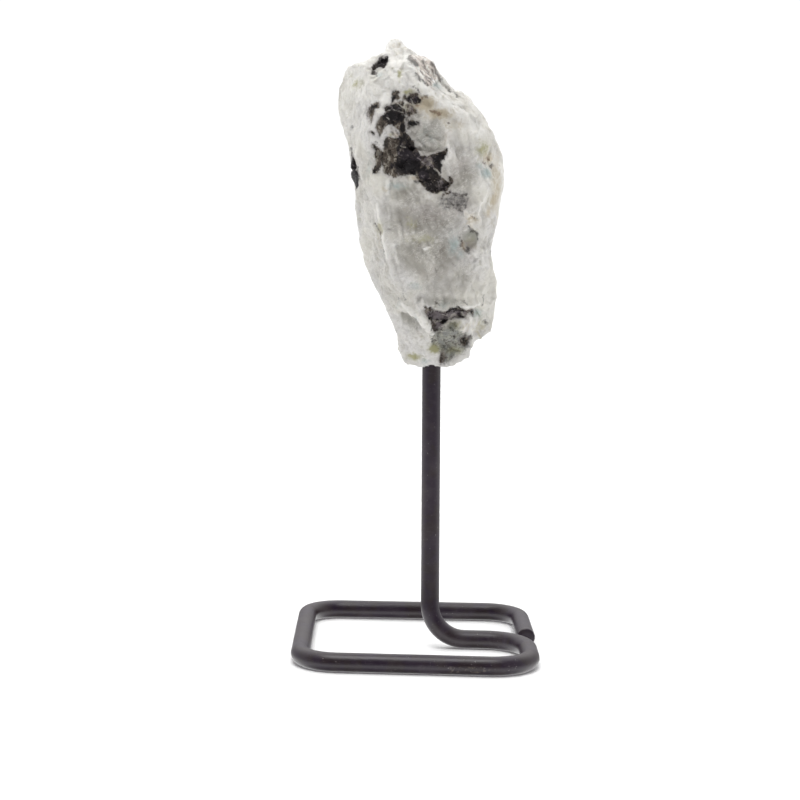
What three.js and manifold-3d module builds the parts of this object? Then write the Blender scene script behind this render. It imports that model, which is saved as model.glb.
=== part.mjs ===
// A rough moonstone on a bent rod stand. Millimetres, +Z up, front towards -Y.
// The origin is on the ground, at the centre of the stand's base loop.

import * as THREE from 'three';
import { mergeVertices } from 'three/addons/utils/BufferGeometryUtils.js';
import Module from 'manifold-3d';

const wasm = await Module();
wasm.setup();

// Driving dimensions of the stand, along the rod's centre line.

const rodDiameter = 4.8;
const rodSides = 24;
const loopWidth = 58.6;
const loopDepth = 62.4;
const cornerRadius = 9.2;
const returnRadius = 10.5;
const barSkew = 1.0; // degrees by which the front and back bars splay towards the right
const returnBarY = -2.9; // the bar that comes back from the front to the foot of the post
const returnInset = 0.5; // how far the return bend stops short of the loop's right side
const freeEndGap = 3.3; // from the return bar's centre line to the rod's cut end
const postFootX = 3.8;
const postLean = -1.15; // degrees towards the right
const postTop = 92;
const bendSteps = 8; // for each quarter turn

// Driving dimensions of the stone.

const stoneMiddle = new THREE.Vector3(0, 0, 116);
const frontDepth = 18.5;
const backDepth = 19.5;
const boxiness = 3.4; // 2 is an ellipsoid, and more is squarer
const wornEdge = 0.5; // rounding where two faces meet
const stoneDetail = 17;
const stoneStretch = new THREE.Vector3(1, 0.95, 2);
const drillClearance = 0.3;

const degrees = THREE.MathUtils.degToRad;
const smoothstep = THREE.MathUtils.smoothstep;

// ---- solids ----

function toSolid(geometry) {
  const bare = new THREE.BufferGeometry();
  bare.setAttribute('position', geometry.getAttribute('position').clone());
  bare.setIndex(geometry.getIndex());
  const merged = mergeVertices(bare, 1e-4);
  return new wasm.Manifold(new wasm.Mesh({
    numProp: 3,
    vertProperties: Float32Array.from(merged.getAttribute('position').array),
    triVerts: Uint32Array.from(merged.getIndex().array),
  }));
}

function toGeometry(solid) {
  const mesh = solid.getMesh();
  const geometry = new THREE.BufferGeometry();
  geometry.setAttribute('position', new THREE.BufferAttribute(mesh.vertProperties, 3));
  geometry.setIndex(new THREE.BufferAttribute(mesh.triVerts, 1));
  return geometry;
}

// ---- the stand: one rod, cut square at both ends ----

// A centre line given by its stations. A straight run has none between its ends.
class RodLine extends THREE.Curve {
  constructor(stations) {
    super();
    this.stations = stations;
  }

  stationAt(u) {
    return this.stations[Math.round(u * (this.stations.length - 1))];
  }

  getPointAt(u, target = new THREE.Vector3()) {
    return target.copy(this.stationAt(u).point);
  }

  getTangentAt(u, target = new THREE.Vector3()) {
    return target.copy(this.stationAt(u).tangent);
  }
}

// Stations of the arc that rounds the corner between two straight runs.
function bend(before, corner, after, radius) {
  const into = corner.clone().sub(before).normalize();
  const out = after.clone().sub(corner).normalize();
  const turn = into.angleTo(out);
  const axis = into.clone().cross(out).normalize();
  const start = corner.clone().addScaledVector(into, -radius * Math.tan(turn / 2));
  const inward = axis.clone().cross(into);
  const centre = start.clone().addScaledVector(inward, radius);
  const steps = Math.ceil(bendSteps * turn / (Math.PI / 2));
  const stations = [];
  for (let i = 0; i <= steps; i += 1) {
    const angle = turn * i / steps;
    const point = inward.clone().multiplyScalar(-radius).applyAxisAngle(axis, angle).add(centre);
    stations.push({ point, tangent: into.clone().applyAxisAngle(axis, angle) });
  }
  return stations;
}

function rodStations() {
  const z = rodDiameter / 2;
  const right = loopWidth / 2;
  const left = -right;
  const inner = right - returnInset;
  const slope = Math.tan(degrees(barSkew));
  const backBar = (x) => loopDepth / 2 + slope * x;
  const frontBar = (x) => -loopDepth / 2 - slope * x;
  const postX = postFootX - Math.tan(degrees(-postLean)) * (postTop - z);
  const corners = [
    { point: [right, returnBarY + freeEndGap, z] },
    { point: [right, backBar(right), z], radius: cornerRadius },
    { point: [left, backBar(left), z], radius: cornerRadius },
    { point: [left, frontBar(left), z], radius: cornerRadius },
    { point: [inner, frontBar(inner), z], radius: returnRadius },
    { point: [inner, returnBarY, z], radius: returnRadius },
    { point: [postFootX, returnBarY, z], radius: cornerRadius },
    { point: [postX, returnBarY, postTop] },
  ].map(({ point, radius }) => ({ point: new THREE.Vector3(...point), radius }));
  const ends = [corners[0], corners.at(-1)].map((end, i) => {
    const next = corners[i === 0 ? 1 : corners.length - 2];
    const tangent = next.point.clone().sub(end.point).normalize().multiplyScalar(i === 0 ? 1 : -1);
    return { point: end.point, tangent };
  });
  const bends = corners.slice(1, -1).flatMap((corner, i) =>
    bend(corners[i].point, corner.point, corners[i + 2].point, corner.radius));
  return [ends[0], ...bends, ends[1]];
}

// The section's flats touch the rod's true circle, and one of them lies on the ground.
function rodSection() {
  const reach = rodDiameter / 2 / Math.cos(Math.PI / rodSides);
  const points = [];
  for (let i = 0; i < rodSides; i += 1) {
    const angle = 2 * Math.PI * (i + 0.5) / rodSides;
    points.push(new THREE.Vector2(reach * Math.cos(angle), reach * Math.sin(angle)));
  }
  return new THREE.Shape(points);
}

function standGeometry(stations) {
  return new THREE.ExtrudeGeometry(rodSection(), {
    steps: stations.length - 1,
    extrudePath: new RodLine(stations),
  });
}

// ---- the stone ----

// Its outline seen from the front, as [x, z], clockwise from the left of the peak.
const outline = [
  [-10, 157.2], [-8, 157.4], [-6.4, 155.4], [-3.2, 153.5], [0.8, 151.6], [2.6, 148.6],
  [5.4, 145.5], [10.2, 142.6], [14.2, 137.6], [17, 133.4], [19.1, 128.6], [19.7, 121.4],
  [18.5, 115], [17.7, 110], [16.8, 104.2], [17.3, 100.4], [18.7, 96.4], [18.2, 88],
  [17.5, 83.4], [13.4, 80.8], [12.3, 78.8], [11.9, 76.6], [8.8, 75.3], [5, 74.2],
  [-0.5, 73.6], [-4.6, 74.4], [-5.8, 77.4], [-6.6, 82], [-9, 87.6], [-12.4, 93.8],
  [-15.3, 99.8], [-16.4, 105], [-18, 114], [-18.1, 118.5], [-19.4, 125], [-20.3, 131],
  [-22.4, 136], [-23.4, 141], [-23, 145], [-21.9, 148], [-20.8, 149.9], [-16.6, 151.2],
  [-13.7, 153.1], [-11.4, 154.2], [-10.9, 156],
];

// Broken cleavage faces: the way each one faces, in degrees round from the front and up, and
// a point that it passes through.
const faces = [
  { round: -64, up: 4, through: [-18.8, -8, 138] },
  { round: -60, up: -12, through: [-13.5, -10, 106] },
  { round: -44, up: -30, through: [-8.2, -8.5, 88] },
  { round: -14, up: 14, through: [-11, -16.8, 140] },
  { round: -4, up: -2, through: [-2, -17.6, 112] },
  { round: 6, up: -9, through: [6, -17, 100] },
  { round: 20, up: 4, through: [10, -16.6, 122] },
  { round: 62, up: 2, through: [18, -6, 120] },
  { round: 48, up: -16, through: [16, -8, 92] },
  { round: 24, up: 34, through: [5, -13.6, 143] },
  { round: -6, up: 50, through: [-9, -3.6, 156.6] },
  { round: 176, up: 46, through: [-9, 4.6, 156.6] },
  { round: 2, up: -42, through: [4, -10.5, 80] },
  { round: 118, up: 8, through: [17, 10, 118] },
  { round: 140, up: 30, through: [6, 12, 142] },
  { round: 172, up: 12, through: [-4, 17.4, 134] },
  { round: 184, up: -6, through: [0, 18.2, 108] },
  { round: 166, up: -34, through: [4, 12.4, 84] },
  { round: -128, up: 10, through: [-18, 12.4, 134] },
  { round: -122, up: -20, through: [-13, 9, 100] },
  { round: -150, up: 44, through: [-13, 9, 148] },
].map(({ round, up, through }) => {
  const level = Math.cos(degrees(up));
  const normal = new THREE.Vector3(
    Math.sin(degrees(round)) * level,
    -Math.cos(degrees(round)) * level,
    Math.sin(degrees(up)),
  );
  return { normal, reach: normal.dot(new THREE.Vector3(...through).sub(stoneMiddle)) };
});

// Dents and lumps, as ellipses seen from the front: centre, half size, tilt in degrees, depth
// (below zero for a lump) and how much of the half size is the sloping rim.
const frontDents = [
  { at: [3.6, 147.2], half: [5.6, 3.2], tilt: -42, depth: 1.5, rim: 0.5 },
  { at: [-1, 133], half: [6.6, 4.6], tilt: -18, depth: 2.2, rim: 0.35 },
  { at: [-7, 128], half: [5.4, 5.6], tilt: -30, depth: 0.8, rim: 0.4 },
  { at: [2.4, 121.4], half: [4.6, 2.6], tilt: -35, depth: 0.9, rim: 0.5 },
  { at: [7, 116.8], half: [4.2, 2.6], tilt: 0, depth: 1, rim: 0.6 },
  { at: [10.2, 107.2], half: [2.6, 3.8], tilt: 20, depth: 1.2, rim: 0.4 },
  { at: [6, 86.6], half: [6.4, 3.6], tilt: 10, depth: 3.2, rim: 0.35 },
  { at: [7, 80], half: [6.4, 5.4], tilt: 0, depth: 1.6, rim: 0.5 },
  { at: [-3.4, 86.6], half: [3.6, 2.6], tilt: -38, depth: 1.4, rim: 0.6 },
  { at: [-13.6, 150.6], half: [3.6, 2.4], tilt: 30, depth: 2.2, rim: 0.8 },
  { at: [-10, 146], half: [3, 4], tilt: 0, depth: 0.9, rim: 0.9 },
  { at: [-19, 141], half: [5.4, 8], tilt: 4, depth: -0.7, rim: 0.9 },
  { at: [10.6, 130], half: [5.4, 7.4], tilt: 20, depth: -0.8, rim: 0.8 },
  { at: [-2.6, 80.4], half: [4, 6], tilt: 0, depth: -0.9, rim: 0.7 },
];

// Grooves and ridges along lines seen from the front. A height below zero is a groove.
const frontRidges = [
  { line: [[-5, 151.2], [-2.7, 146.2], [0.6, 143.2], [3.8, 140.4], [11.4, 137.2]], width: 1.5, height: 1.3 },
  { line: [[-14.4, 139], [-13.4, 120], [-10.6, 107], [-9, 93]], width: 1.4, height: 0.6 },
  { line: [[-11.6, 110], [-9.8, 100]], width: 0.9, height: -0.9 },
  { line: [[4.9, 132.4], [5.2, 123]], width: 1.3, height: 0.9 },
  { line: [[11, 101.8], [8.8, 97], [7, 92.6]], width: 1.8, height: -1.1 },
  { line: [[0.2, 91.4], [5, 90.6], [13.6, 91.4]], width: 1.1, height: 0.9 },
  { line: [[-6.6, 91.4], [-3, 88.8], [0.4, 86], [2.4, 83.4]], width: 1, height: 1.2 },
  { line: [[13.6, 90], [12.8, 81.4]], width: 0.9, height: -1.5 },
  { line: [[15.4, 134], [16.6, 122], [15.4, 110]], width: 1.2, height: 0.6 },
];

const backDents = [
  { at: [-6, 138], half: [8, 6], tilt: 24, depth: 1.8, rim: 0.4 },
  { at: [7, 124], half: [5, 8], tilt: -14, depth: 1.5, rim: 0.5 },
  { at: [-3, 100], half: [7, 5], tilt: -10, depth: 1.3, rim: 0.4 },
  { at: [5, 88], half: [6, 4], tilt: 12, depth: 1.8, rim: 0.4 },
];

const backRidges = [
  { line: [[-14, 146], [-4, 128], [-8, 110]], width: 1.6, height: 1.1 },
  { line: [[13, 136], [3, 112], [8, 96]], width: 1.5, height: 0.9 },
];

function outlineReach(angle) {
  const rayX = Math.cos(angle);
  const rayZ = Math.sin(angle);
  let reach = 0;
  outline.forEach(([x, z], i) => {
    const [nextX, nextZ] = outline[(i + 1) % outline.length];
    const startX = x - stoneMiddle.x;
    const startZ = z - stoneMiddle.z;
    const edgeX = nextX - x;
    const edgeZ = nextZ - z;
    const cross = rayX * edgeZ - rayZ * edgeX;
    const along = (startX * edgeZ - startZ * edgeX) / cross;
    const share = (startX * rayZ - startZ * rayX) / cross;
    if (along > 0 && share >= 0 && share <= 1) {
      reach = Math.max(reach, along);
    }
  });
  return reach;
}

function dentDepth(dents, x, z) {
  return dents.reduce((total, { at, half, tilt, depth, rim }) => {
    const turn = degrees(tilt);
    const across = (x - at[0]) * Math.cos(turn) + (z - at[1]) * Math.sin(turn);
    const along = (z - at[1]) * Math.cos(turn) - (x - at[0]) * Math.sin(turn);
    const share = Math.hypot(across / half[0], along / half[1]);
    return total + depth * (1 - smoothstep(share, 1 - rim, 1));
  }, 0);
}

function distanceToLine(line, x, z) {
  let nearest = Infinity;
  for (let i = 0; i + 1 < line.length; i += 1) {
    const [startX, startZ] = line[i];
    const runX = line[i + 1][0] - startX;
    const runZ = line[i + 1][1] - startZ;
    const share = ((x - startX) * runX + (z - startZ) * runZ) / (runX * runX + runZ * runZ);
    const held = THREE.MathUtils.clamp(share, 0, 1);
    nearest = Math.min(nearest, Math.hypot(x - startX - held * runX, z - startZ - held * runZ));
  }
  return nearest;
}

function ridgeHeight(ridges, x, z) {
  return ridges.reduce((total, { line, width, height }) => {
    const share = distanceToLine(line, x, z) / width;
    return total + height * Math.exp(-share * share);
  }, 0);
}

// Slow swells that keep the broken faces from being truly flat.
function swell({ x, y, z }) {
  return 0.3 * Math.sin(0.43 * x + 0.31 * z + 1.1) * Math.cos(0.37 * y - 0.22 * z)
    + 0.16 * Math.sin(0.63 * z - 0.47 * x + 0.6 * y);
}

// How far the stone reaches from its middle: a squared body with its outline true from the
// front, cut back by the cleavage faces, with the dents and ridges of its front and its back.
function stoneReach(direction) {
  const across = Math.hypot(direction.x, direction.z);
  const depth = direction.y < 0 ? frontDepth : backDepth;
  const side = (across / outlineReach(Math.atan2(direction.z, direction.x))) ** boxiness;
  const face = (Math.abs(direction.y) / depth) ** boxiness;
  let reach = (side + face) ** (-1 / boxiness);
  for (const { normal, reach: faceReach } of faces) {
    const toward = normal.dot(direction);
    if (toward > 0.05) {
      const limit = faceReach / toward;
      const mix = THREE.MathUtils.clamp(0.5 + (limit - reach) / (2 * wornEdge), 0, 1);
      reach = THREE.MathUtils.lerp(limit, reach, mix) - wornEdge * mix * (1 - mix);
    }
  }
  const point = direction.clone().multiplyScalar(reach).add(stoneMiddle);
  const front = smoothstep(-point.y, 2, 8);
  const back = smoothstep(point.y, 3, 9);
  reach += front * (ridgeHeight(frontRidges, point.x, point.z) - dentDepth(frontDents, point.x, point.z));
  reach += back * (ridgeHeight(backRidges, point.x, point.z) - dentDepth(backDents, point.x, point.z));
  return reach + Math.max(front, back) * swell(point);
}

function roughStone() {
  const ball = new THREE.IcosahedronGeometry(1, stoneDetail);
  const positions = ball.getAttribute('position');
  const direction = new THREE.Vector3();
  for (let i = 0; i < positions.count; i += 1) {
    direction.fromBufferAttribute(positions, i).multiply(stoneStretch).normalize();
    const point = direction.clone().multiplyScalar(stoneReach(direction)).add(stoneMiddle);
    positions.setXYZ(i, point.x, point.y, point.z);
  }
  return toSolid(ball);
}

// The drilled hole follows the post, wider by the clearance and deeper by the same.
function drill(postEnd) {
  const length = 60;
  const reach = (rodDiameter / 2 + drillClearance) / Math.cos(Math.PI / rodSides);
  const bit = new THREE.CylinderGeometry(reach, reach, length, rodSides);
  bit.rotateX(Math.PI / 2);
  bit.translate(0, 0, drillClearance - length / 2);
  const turn = new THREE.Quaternion().setFromUnitVectors(new THREE.Vector3(0, 0, 1), postEnd.tangent);
  bit.applyQuaternion(turn);
  bit.translate(postEnd.point.x, postEnd.point.y, postEnd.point.z);
  return toSolid(bit);
}

// ---- the object ----

const stations = rodStations();

const wireStand = new THREE.Mesh(
  standGeometry(stations),
  new THREE.MeshStandardMaterial({ color: 0x2f2d30, roughness: 0.62, metalness: 0 }),
);
wireStand.name = 'wire_stand';

const moonstone = new THREE.Mesh(
  toGeometry(roughStone().subtract(drill(stations.at(-1)))),
  new THREE.MeshStandardMaterial({ color: 0xd9d7d0, roughness: 0.45, metalness: 0 }),
);
moonstone.name = 'moonstone';

const object = new THREE.Group();
object.add(wireStand, moonstone);

export default object;
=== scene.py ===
import itertools
import math

import bpy
import numpy as np
from mathutils import Matrix, Vector
from mathutils.bvhtree import BVHTree


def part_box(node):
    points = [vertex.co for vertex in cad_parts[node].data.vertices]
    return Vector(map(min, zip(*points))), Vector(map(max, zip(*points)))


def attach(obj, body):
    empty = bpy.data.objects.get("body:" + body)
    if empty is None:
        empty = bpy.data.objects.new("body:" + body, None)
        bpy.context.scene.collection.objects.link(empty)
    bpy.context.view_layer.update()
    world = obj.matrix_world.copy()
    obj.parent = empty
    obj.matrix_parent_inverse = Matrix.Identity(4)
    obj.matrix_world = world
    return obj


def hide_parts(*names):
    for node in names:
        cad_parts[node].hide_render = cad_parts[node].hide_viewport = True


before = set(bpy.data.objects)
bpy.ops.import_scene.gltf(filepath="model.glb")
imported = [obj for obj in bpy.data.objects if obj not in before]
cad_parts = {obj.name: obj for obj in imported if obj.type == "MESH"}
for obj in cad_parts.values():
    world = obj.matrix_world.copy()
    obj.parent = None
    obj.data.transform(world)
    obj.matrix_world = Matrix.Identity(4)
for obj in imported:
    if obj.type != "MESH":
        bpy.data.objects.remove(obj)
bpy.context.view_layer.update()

# The scene is worked out in millimetres, in the CAD's frame, and scaled as each mesh is made.
millimetre = 0.001


# One output socket. Python's arithmetic on it builds the Math nodes.
class Wire:
    def __init__(self, graph, socket):
        self.graph = graph
        self.socket = socket

    def math(self, operation, *values, clamp=False):
        settings = {"operation": operation, "use_clamp": clamp}
        return self.graph.wire("Math", settings, dict(enumerate(values)))

    def __add__(self, other):
        return self.math("ADD", self, other)

    def __radd__(self, other):
        return self.math("ADD", other, self)

    def __sub__(self, other):
        return self.math("SUBTRACT", self, other)

    def __rsub__(self, other):
        return self.math("SUBTRACT", other, self)

    def __mul__(self, other):
        return self.math("MULTIPLY", self, other)

    def __rmul__(self, other):
        return self.math("MULTIPLY", other, self)

    def __abs__(self):
        return self.math("ABSOLUTE", self)

    # 0 at the low edge, 1 at the high one, and smooth between; the edges may be swapped
    def step(self, low, high):
        settings = {"interpolation_type": "SMOOTHSTEP", "clamp": True}
        inputs = {0: self, 1: low, 2: high, 3: 0.0, 4: 1.0}
        return self.graph.wire("MapRange", settings, inputs)

    # kept between 0 and 1
    def held(self):
        return self.math("ADD", self, 0.0, clamp=True)

    # 1 where the value is at the level, and down to 0 on both sides of it
    def line(self, level, sharpness):
        return 1.0 - (abs(self - level) * sharpness).held()


class Graph:
    def __init__(self, tree):
        self.tree = tree
        tree.nodes.clear()

    # any node: its type, its settings, and what goes into its sockets
    def node(self, kind, settings=None, inputs=None):
        made = self.tree.nodes.new("ShaderNode" + kind)
        for key, value in (settings or {}).items():
            setattr(made, key, value)
        for key, value in (inputs or {}).items():
            if isinstance(value, Wire):
                self.tree.links.new(value.socket, made.inputs[key])
            else:
                made.inputs[key].default_value = value
        return made

    def wire(self, kind, settings=None, inputs=None, output=0):
        return Wire(self, self.node(kind, settings, inputs).outputs[output])

    def attribute(self, name):
        return self.wire("Attribute", {"attribute_name": name}, output=2)

    def noise(self, place, scale, detail=3.0, rough=0.5, swirl=0.0):
        inputs = {"Vector": place, "Scale": scale, "Detail": detail}
        inputs.update({"Roughness": rough, "Distortion": swirl})
        return self.wire("TexNoise", {}, inputs)

    def cells(self, place, scale, feature="F1", output=0):
        return self.wire("TexVoronoi", {"feature": feature}, {"Vector": place, "Scale": scale}, output)

    # a place moved by a number along all three axes
    def moved(self, place, amount):
        return self.wire("VectorMath", {"operation": "ADD"}, {0: place, 1: amount})

    # a place for a pattern drawn out so many times along a line that leans from upright
    def stretched(self, place, times, lean=0):
        turn = (0.0, math.radians(lean), 0.0)
        inputs = {"Vector": place, "Rotation": turn, "Scale": (1.0, 1.0, times)}
        return self.wire("Mapping", {"vector_type": "TEXTURE"}, inputs)

    def mix(self, share, first, second):
        settings = {"data_type": "RGBA", "blend_type": "MIX", "clamp_factor": True}
        return self.wire("Mix", settings, {0: share, 6: first, 7: second}, output=2)

    def bump(self, height, strength, reach):
        inputs = {"Strength": strength, "Distance": reach, "Height": height}
        return self.wire("Bump", {}, inputs)


def paint(red, green, blue):
    return (red, green, blue, 1.0)


# A material with its graph, and the place on the object in millimetres.
def newMaterial(name):
    material = bpy.data.materials.new(name)
    material.use_nodes = True
    graph = Graph(material.node_tree)
    place = graph.wire("TexCoord", output="Object")
    inputs = {0: place, "Scale": 1 / millimetre}
    place = graph.wire("VectorMath", {"operation": "SCALE"}, inputs)
    return material, graph, place


def finishMaterial(graph, inputs):
    graph.node("OutputMaterial", {}, {"Surface": graph.wire("BsdfPrincipled", {}, inputs)})


def makeMesh(name, points, polygons, material, attributes=None):
    mesh = bpy.data.meshes.new(name)
    mesh.from_pydata((points * millimetre).tolist(), [], polygons)
    mesh.validate()
    mesh.update()
    mesh.shade_smooth()
    mesh.materials.append(material)
    for key, values in (attributes or {}).items():
        layer = mesh.attributes.new(key, "FLOAT", "POINT")
        layer.data.foreach_set("value", np.asarray(values, np.float32))
    piece = bpy.data.objects.new(name, mesh)
    bpy.context.scene.collection.objects.link(piece)
    return piece


def smoothstep(low, high, values):
    share = np.clip((values - low) / (high - low), 0, 1)
    return share * share * (3 - 2 * share)


# what a cell's place and the seed are multiplied by to scramble them
scramble = {
    "place": (73856093, 19349663, 83492791),
    "seed": 668265263,
    "first": 1274126177,
    "second": 2246822519,
}


# A share from 0 to 1 for each cell, evenly spread, and the same each time for the same seed.
def hashed(cell, seed):
    parts = cell * np.array(scramble["place"])
    mixed = parts[:, 0] ^ parts[:, 1] ^ parts[:, 2] ^ (seed * scramble["seed"])
    mixed = ((mixed ^ (mixed >> 13)) * scramble["first"]) & 0xFFFFFFFF
    mixed = ((mixed ^ (mixed >> 15)) * scramble["second"]) & 0xFFFFFFFF
    return ((mixed ^ (mixed >> 16)) & 0xFFFFF) / 0xFFFFF


# Smooth noise from -1 to 1, one value for each point.
def valueNoise(points, seed):
    cell = np.floor(points).astype(np.int64)
    part = points - cell
    ease = part * part * (3 - 2 * part)
    total = np.zeros(len(points))
    for corner in itertools.product((0, 1), repeat=3):
        value = hashed(cell + corner, seed) * 2 - 1
        weight = np.prod(np.where(np.array(corner) == 1, ease, 1 - ease), axis=1)
        total += weight * value
    return total


# The sum of several layers, each half as strong and about half as coarse as the one before.
def layeredNoise(points, size, layers, seed):
    total = np.zeros(len(points))
    weight = 1.0
    for layer in range(layers):
        total += weight * valueNoise(points / size * 2.03 ** layer + 7.3 * layer, seed + layer)
        weight *= 0.5
    return total


# Broken ground: each point belongs to the nearest of a set of scattered centres, and each centre
# has its own tilted facet. Gives the facet's height, the centre's own level and its distance.
def facets(points, size, seed):
    scaled = points / size
    cell = np.floor(scaled).astype(np.int64)
    nearest = np.full(len(points), 9.0)
    height = np.zeros(len(points))
    level = np.zeros(len(points))
    for offset in itertools.product((-1, 0, 1), repeat=3):
        at = cell + offset
        away = scaled - at - np.column_stack([hashed(at, seed + k) for k in range(3)])
        tilt = np.column_stack([hashed(at, seed + 3 + k) for k in range(3)]) - 0.5
        distance = np.linalg.norm(away, axis=1)
        closer = distance < nearest
        nearest = np.where(closer, distance, nearest)
        height = np.where(closer, np.sum(away * tilt, axis=1) * size, height)
        level = np.where(closer, hashed(at, seed + 7) - 0.5, level)
    return height, level, nearest


# Distance to a closed shape in the front view, below zero inside it.
def outlineDistance(shape, x, z):
    corners = np.array(shape, float)
    nearest = np.full(len(x), 1e9)
    inside = np.zeros(len(x), bool)
    for (startX, startZ), (endX, endZ) in zip(corners, np.roll(corners, -1, axis=0)):
        nearest = np.minimum(nearest, segmentDistance(startX, startZ, endX, endZ, x, z))
        crosses = (startZ > z) != (endZ > z)
        rise = endZ - startZ if endZ != startZ else 1.0
        inside ^= crosses & (x < (endX - startX) * (z - startZ) / rise + startX)
    return np.where(inside, -nearest, nearest)


def segmentDistance(startX, startZ, endX, endZ, x, z):
    runX = endX - startX
    runZ = endZ - startZ
    share = np.clip(((x - startX) * runX + (z - startZ) * runZ) / (runX ** 2 + runZ ** 2), 0, 1)
    return np.hypot(x - startX - share * runX, z - startZ - share * runZ)


def lineDistance(line, x, z):
    runs = [segmentDistance(*a, *b, x, z) for a, b in zip(line, line[1:])]
    return np.min(runs, axis=0)


camera = {
    "place": (-10.3, -497.7, 117.8),
    "pitch": 6.08,  # degrees downwards
    "yaw": -0.55,
    "roll": 1.41,
    "lens": 86.5,
    "sensor": 36.0,
    "dots": 800,  # across its frame
    "dot": 0.262,  # the width of one on the stone, in millimetres
}


def cameraTurn():
    turn = Matrix.Rotation(math.radians(camera["yaw"]), 4, "Z")
    turn = turn @ Matrix.Rotation(math.radians(90 - camera["pitch"]), 4, "X")
    return turn @ Matrix.Rotation(math.radians(camera["roll"]), 4, "Z")


def makeCamera():
    data = bpy.data.cameras.new("camera")
    data.sensor_width = camera["sensor"]
    data.lens = camera["lens"]
    data.clip_start = 0.01
    data.clip_end = 50.0
    holder = bpy.data.objects.new("camera", data)
    place = [value * millimetre for value in camera["place"]]
    holder.matrix_world = Matrix.Translation(place) @ cameraTurn()
    bpy.context.scene.collection.objects.link(holder)
    bpy.context.scene.camera = holder


studio = {
    # radiance of the light tent, by direction
    "front": 0.25,
    "sides": 0.95,
    "back": 1.85,
    "backLow": 0.65,
    "topBack": 1.95,
    "topFront": 0.42,
    "below": 2.0,
    "under": 0.42,
    # the lamp above the camera's left shoulder
    "keyFrom": (-16, 76),  # degrees round from the front, degrees up
    "keyStrength": 1.72,
    "keySpread": 34,  # degrees
    "backdrop": 1.05,
    "floorColour": (0.90, 0.90, 0.90),
    "floorGlow": 0.06,
    "reach": 4000.0,  # from the middle to the floor's edge and the backdrop's top
    "backdropSides": 48,
}


# A light tent: bright behind and at the back of its top, less at the sides, and dark towards the
# camera.
def makeWorld():
    world = bpy.data.worlds.new("lightTent")
    world.use_nodes = True
    graph = Graph(world.node_tree)
    direction = graph.wire("TexCoord", output="Generated")
    split = graph.node("SeparateXYZ", {}, {0: direction})
    toBack = Wire(graph, split.outputs[1])
    up = Wire(graph, split.outputs[2])
    back = studio["backLow"] + up.step(0.22, 0.58) * (studio["back"] - studio["backLow"])
    level = studio["sides"] + toBack.step(0.2, 0.9) * (back - studio["sides"])
    level = level + toBack.step(0.1, -0.75) * (studio["front"] - level)
    top = studio["topFront"] + toBack.step(-0.15, 0.3) * (studio["topBack"] - studio["topFront"])
    level = level + up.step(0.4, 0.85) * (top - level)
    # as much as a white table would send back, and less from right under the object
    level = level + up.step(-0.10, -0.38) * (studio["below"] - level)
    level = level + up.step(-0.62, -0.92) * (studio["under"] - level)
    background = graph.wire("Background", {}, {"Color": paint(1, 1, 1), "Strength": level})
    graph.node("OutputWorld", {}, {"Surface": background})
    bpy.context.scene.world = world


def makeLamp():
    data = bpy.data.lights.new("keyLamp", "SUN")
    data.energy = studio["keyStrength"]
    data.angle = math.radians(studio["keySpread"])
    holder = bpy.data.objects.new("keyLamp", data)
    holder.rotation_euler = Vector(wayOf(*studio["keyFrom"])).to_track_quat("Z", "Y").to_euler()
    bpy.context.scene.collection.objects.link(holder)


def glowingMaterial(name, colour, glow):
    material, graph, _ = newMaterial(name)
    finishMaterial(graph, {
        "Base Color": paint(*colour),
        "Roughness": 0.9,
        "Specular IOR Level": 0.2,
        "Emission Color": paint(1, 1, 1),
        "Emission Strength": glow,
    })
    return material


# A pale floor, and a white backdrop all round that only the camera sees: the tent gives the light.
def makeStage():
    makeWorld()
    makeLamp()
    reach = studio["reach"]
    corners = np.array([[-reach, -reach, 0], [reach, -reach, 0], [reach, reach, 0], [-reach, reach, 0]])
    material = glowingMaterial("paleFloor", studio["floorColour"], studio["floorGlow"])
    floor = makeMesh("floor", corners, [(0, 1, 2, 3)], material)
    floor.visible_diffuse = False
    floor.visible_glossy = False
    sides = studio["backdropSides"]
    turns = np.arange(sides) * 2 * math.pi / sides
    ring = np.column_stack([np.cos(turns), np.sin(turns), np.zeros(sides)]) * reach * 0.9
    walls = np.concatenate([ring + (0, 0, -reach), ring + (0, 0, reach)])
    quads = [(k, (k + 1) % sides, (k + 1) % sides + sides, k + sides) for k in range(sides)]
    lid = tuple(range(sides, 2 * sides))
    material = glowingMaterial("whiteBackdrop", (0.0, 0.0, 0.0), studio["backdrop"])
    backdrop = makeMesh("backdrop", walls, quads + [lid], material)
    backdrop.visible_diffuse = False
    backdrop.visible_glossy = False
    backdrop.visible_transmission = False
    backdrop.visible_shadow = False


# The way that faces so many degrees round from the front and so many up.
def wayOf(around, up):
    level = math.cos(math.radians(up))
    turn = math.radians(around)
    return np.array([math.sin(turn) * level, -math.cos(turn) * level, math.sin(math.radians(up))])


# The rod's sizes, as in the CAD, with the rings of its mesh, its rounded ends and its coat.
stand = {
    "rod": 4.8,
    "width": 58.6,
    "depth": 62.4,
    "cornerRadius": 9.2,
    "returnRadius": 10.5,
    "skew": 1.0,
    "returnY": -2.9,
    "returnInset": 0.5,
    "freeEnd": 3.3,
    "footX": 3.8,
    "lean": -1.15,
    "top": 92.0,
    "sides": 48,
    "step": 1.2,  # between rings along the rod
    "endRound": 0.35,
    "coat": (0.0100, 0.0012, 0.0130),
    "brownCoat": (0.0120, 0.0035, 0.0065),
    "dust": (0.046, 0.034, 0.043),
    "chip": (0.36, 0.34, 0.33),
    "scuff": (0.20, 0.17, 0.13),
    "coatRelief": 0.12,
}


def postAxis(z):
    slope = math.tan(math.radians(-stand["lean"]))
    return stand["footX"] - slope * (z - stand["rod"] / 2)


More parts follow.
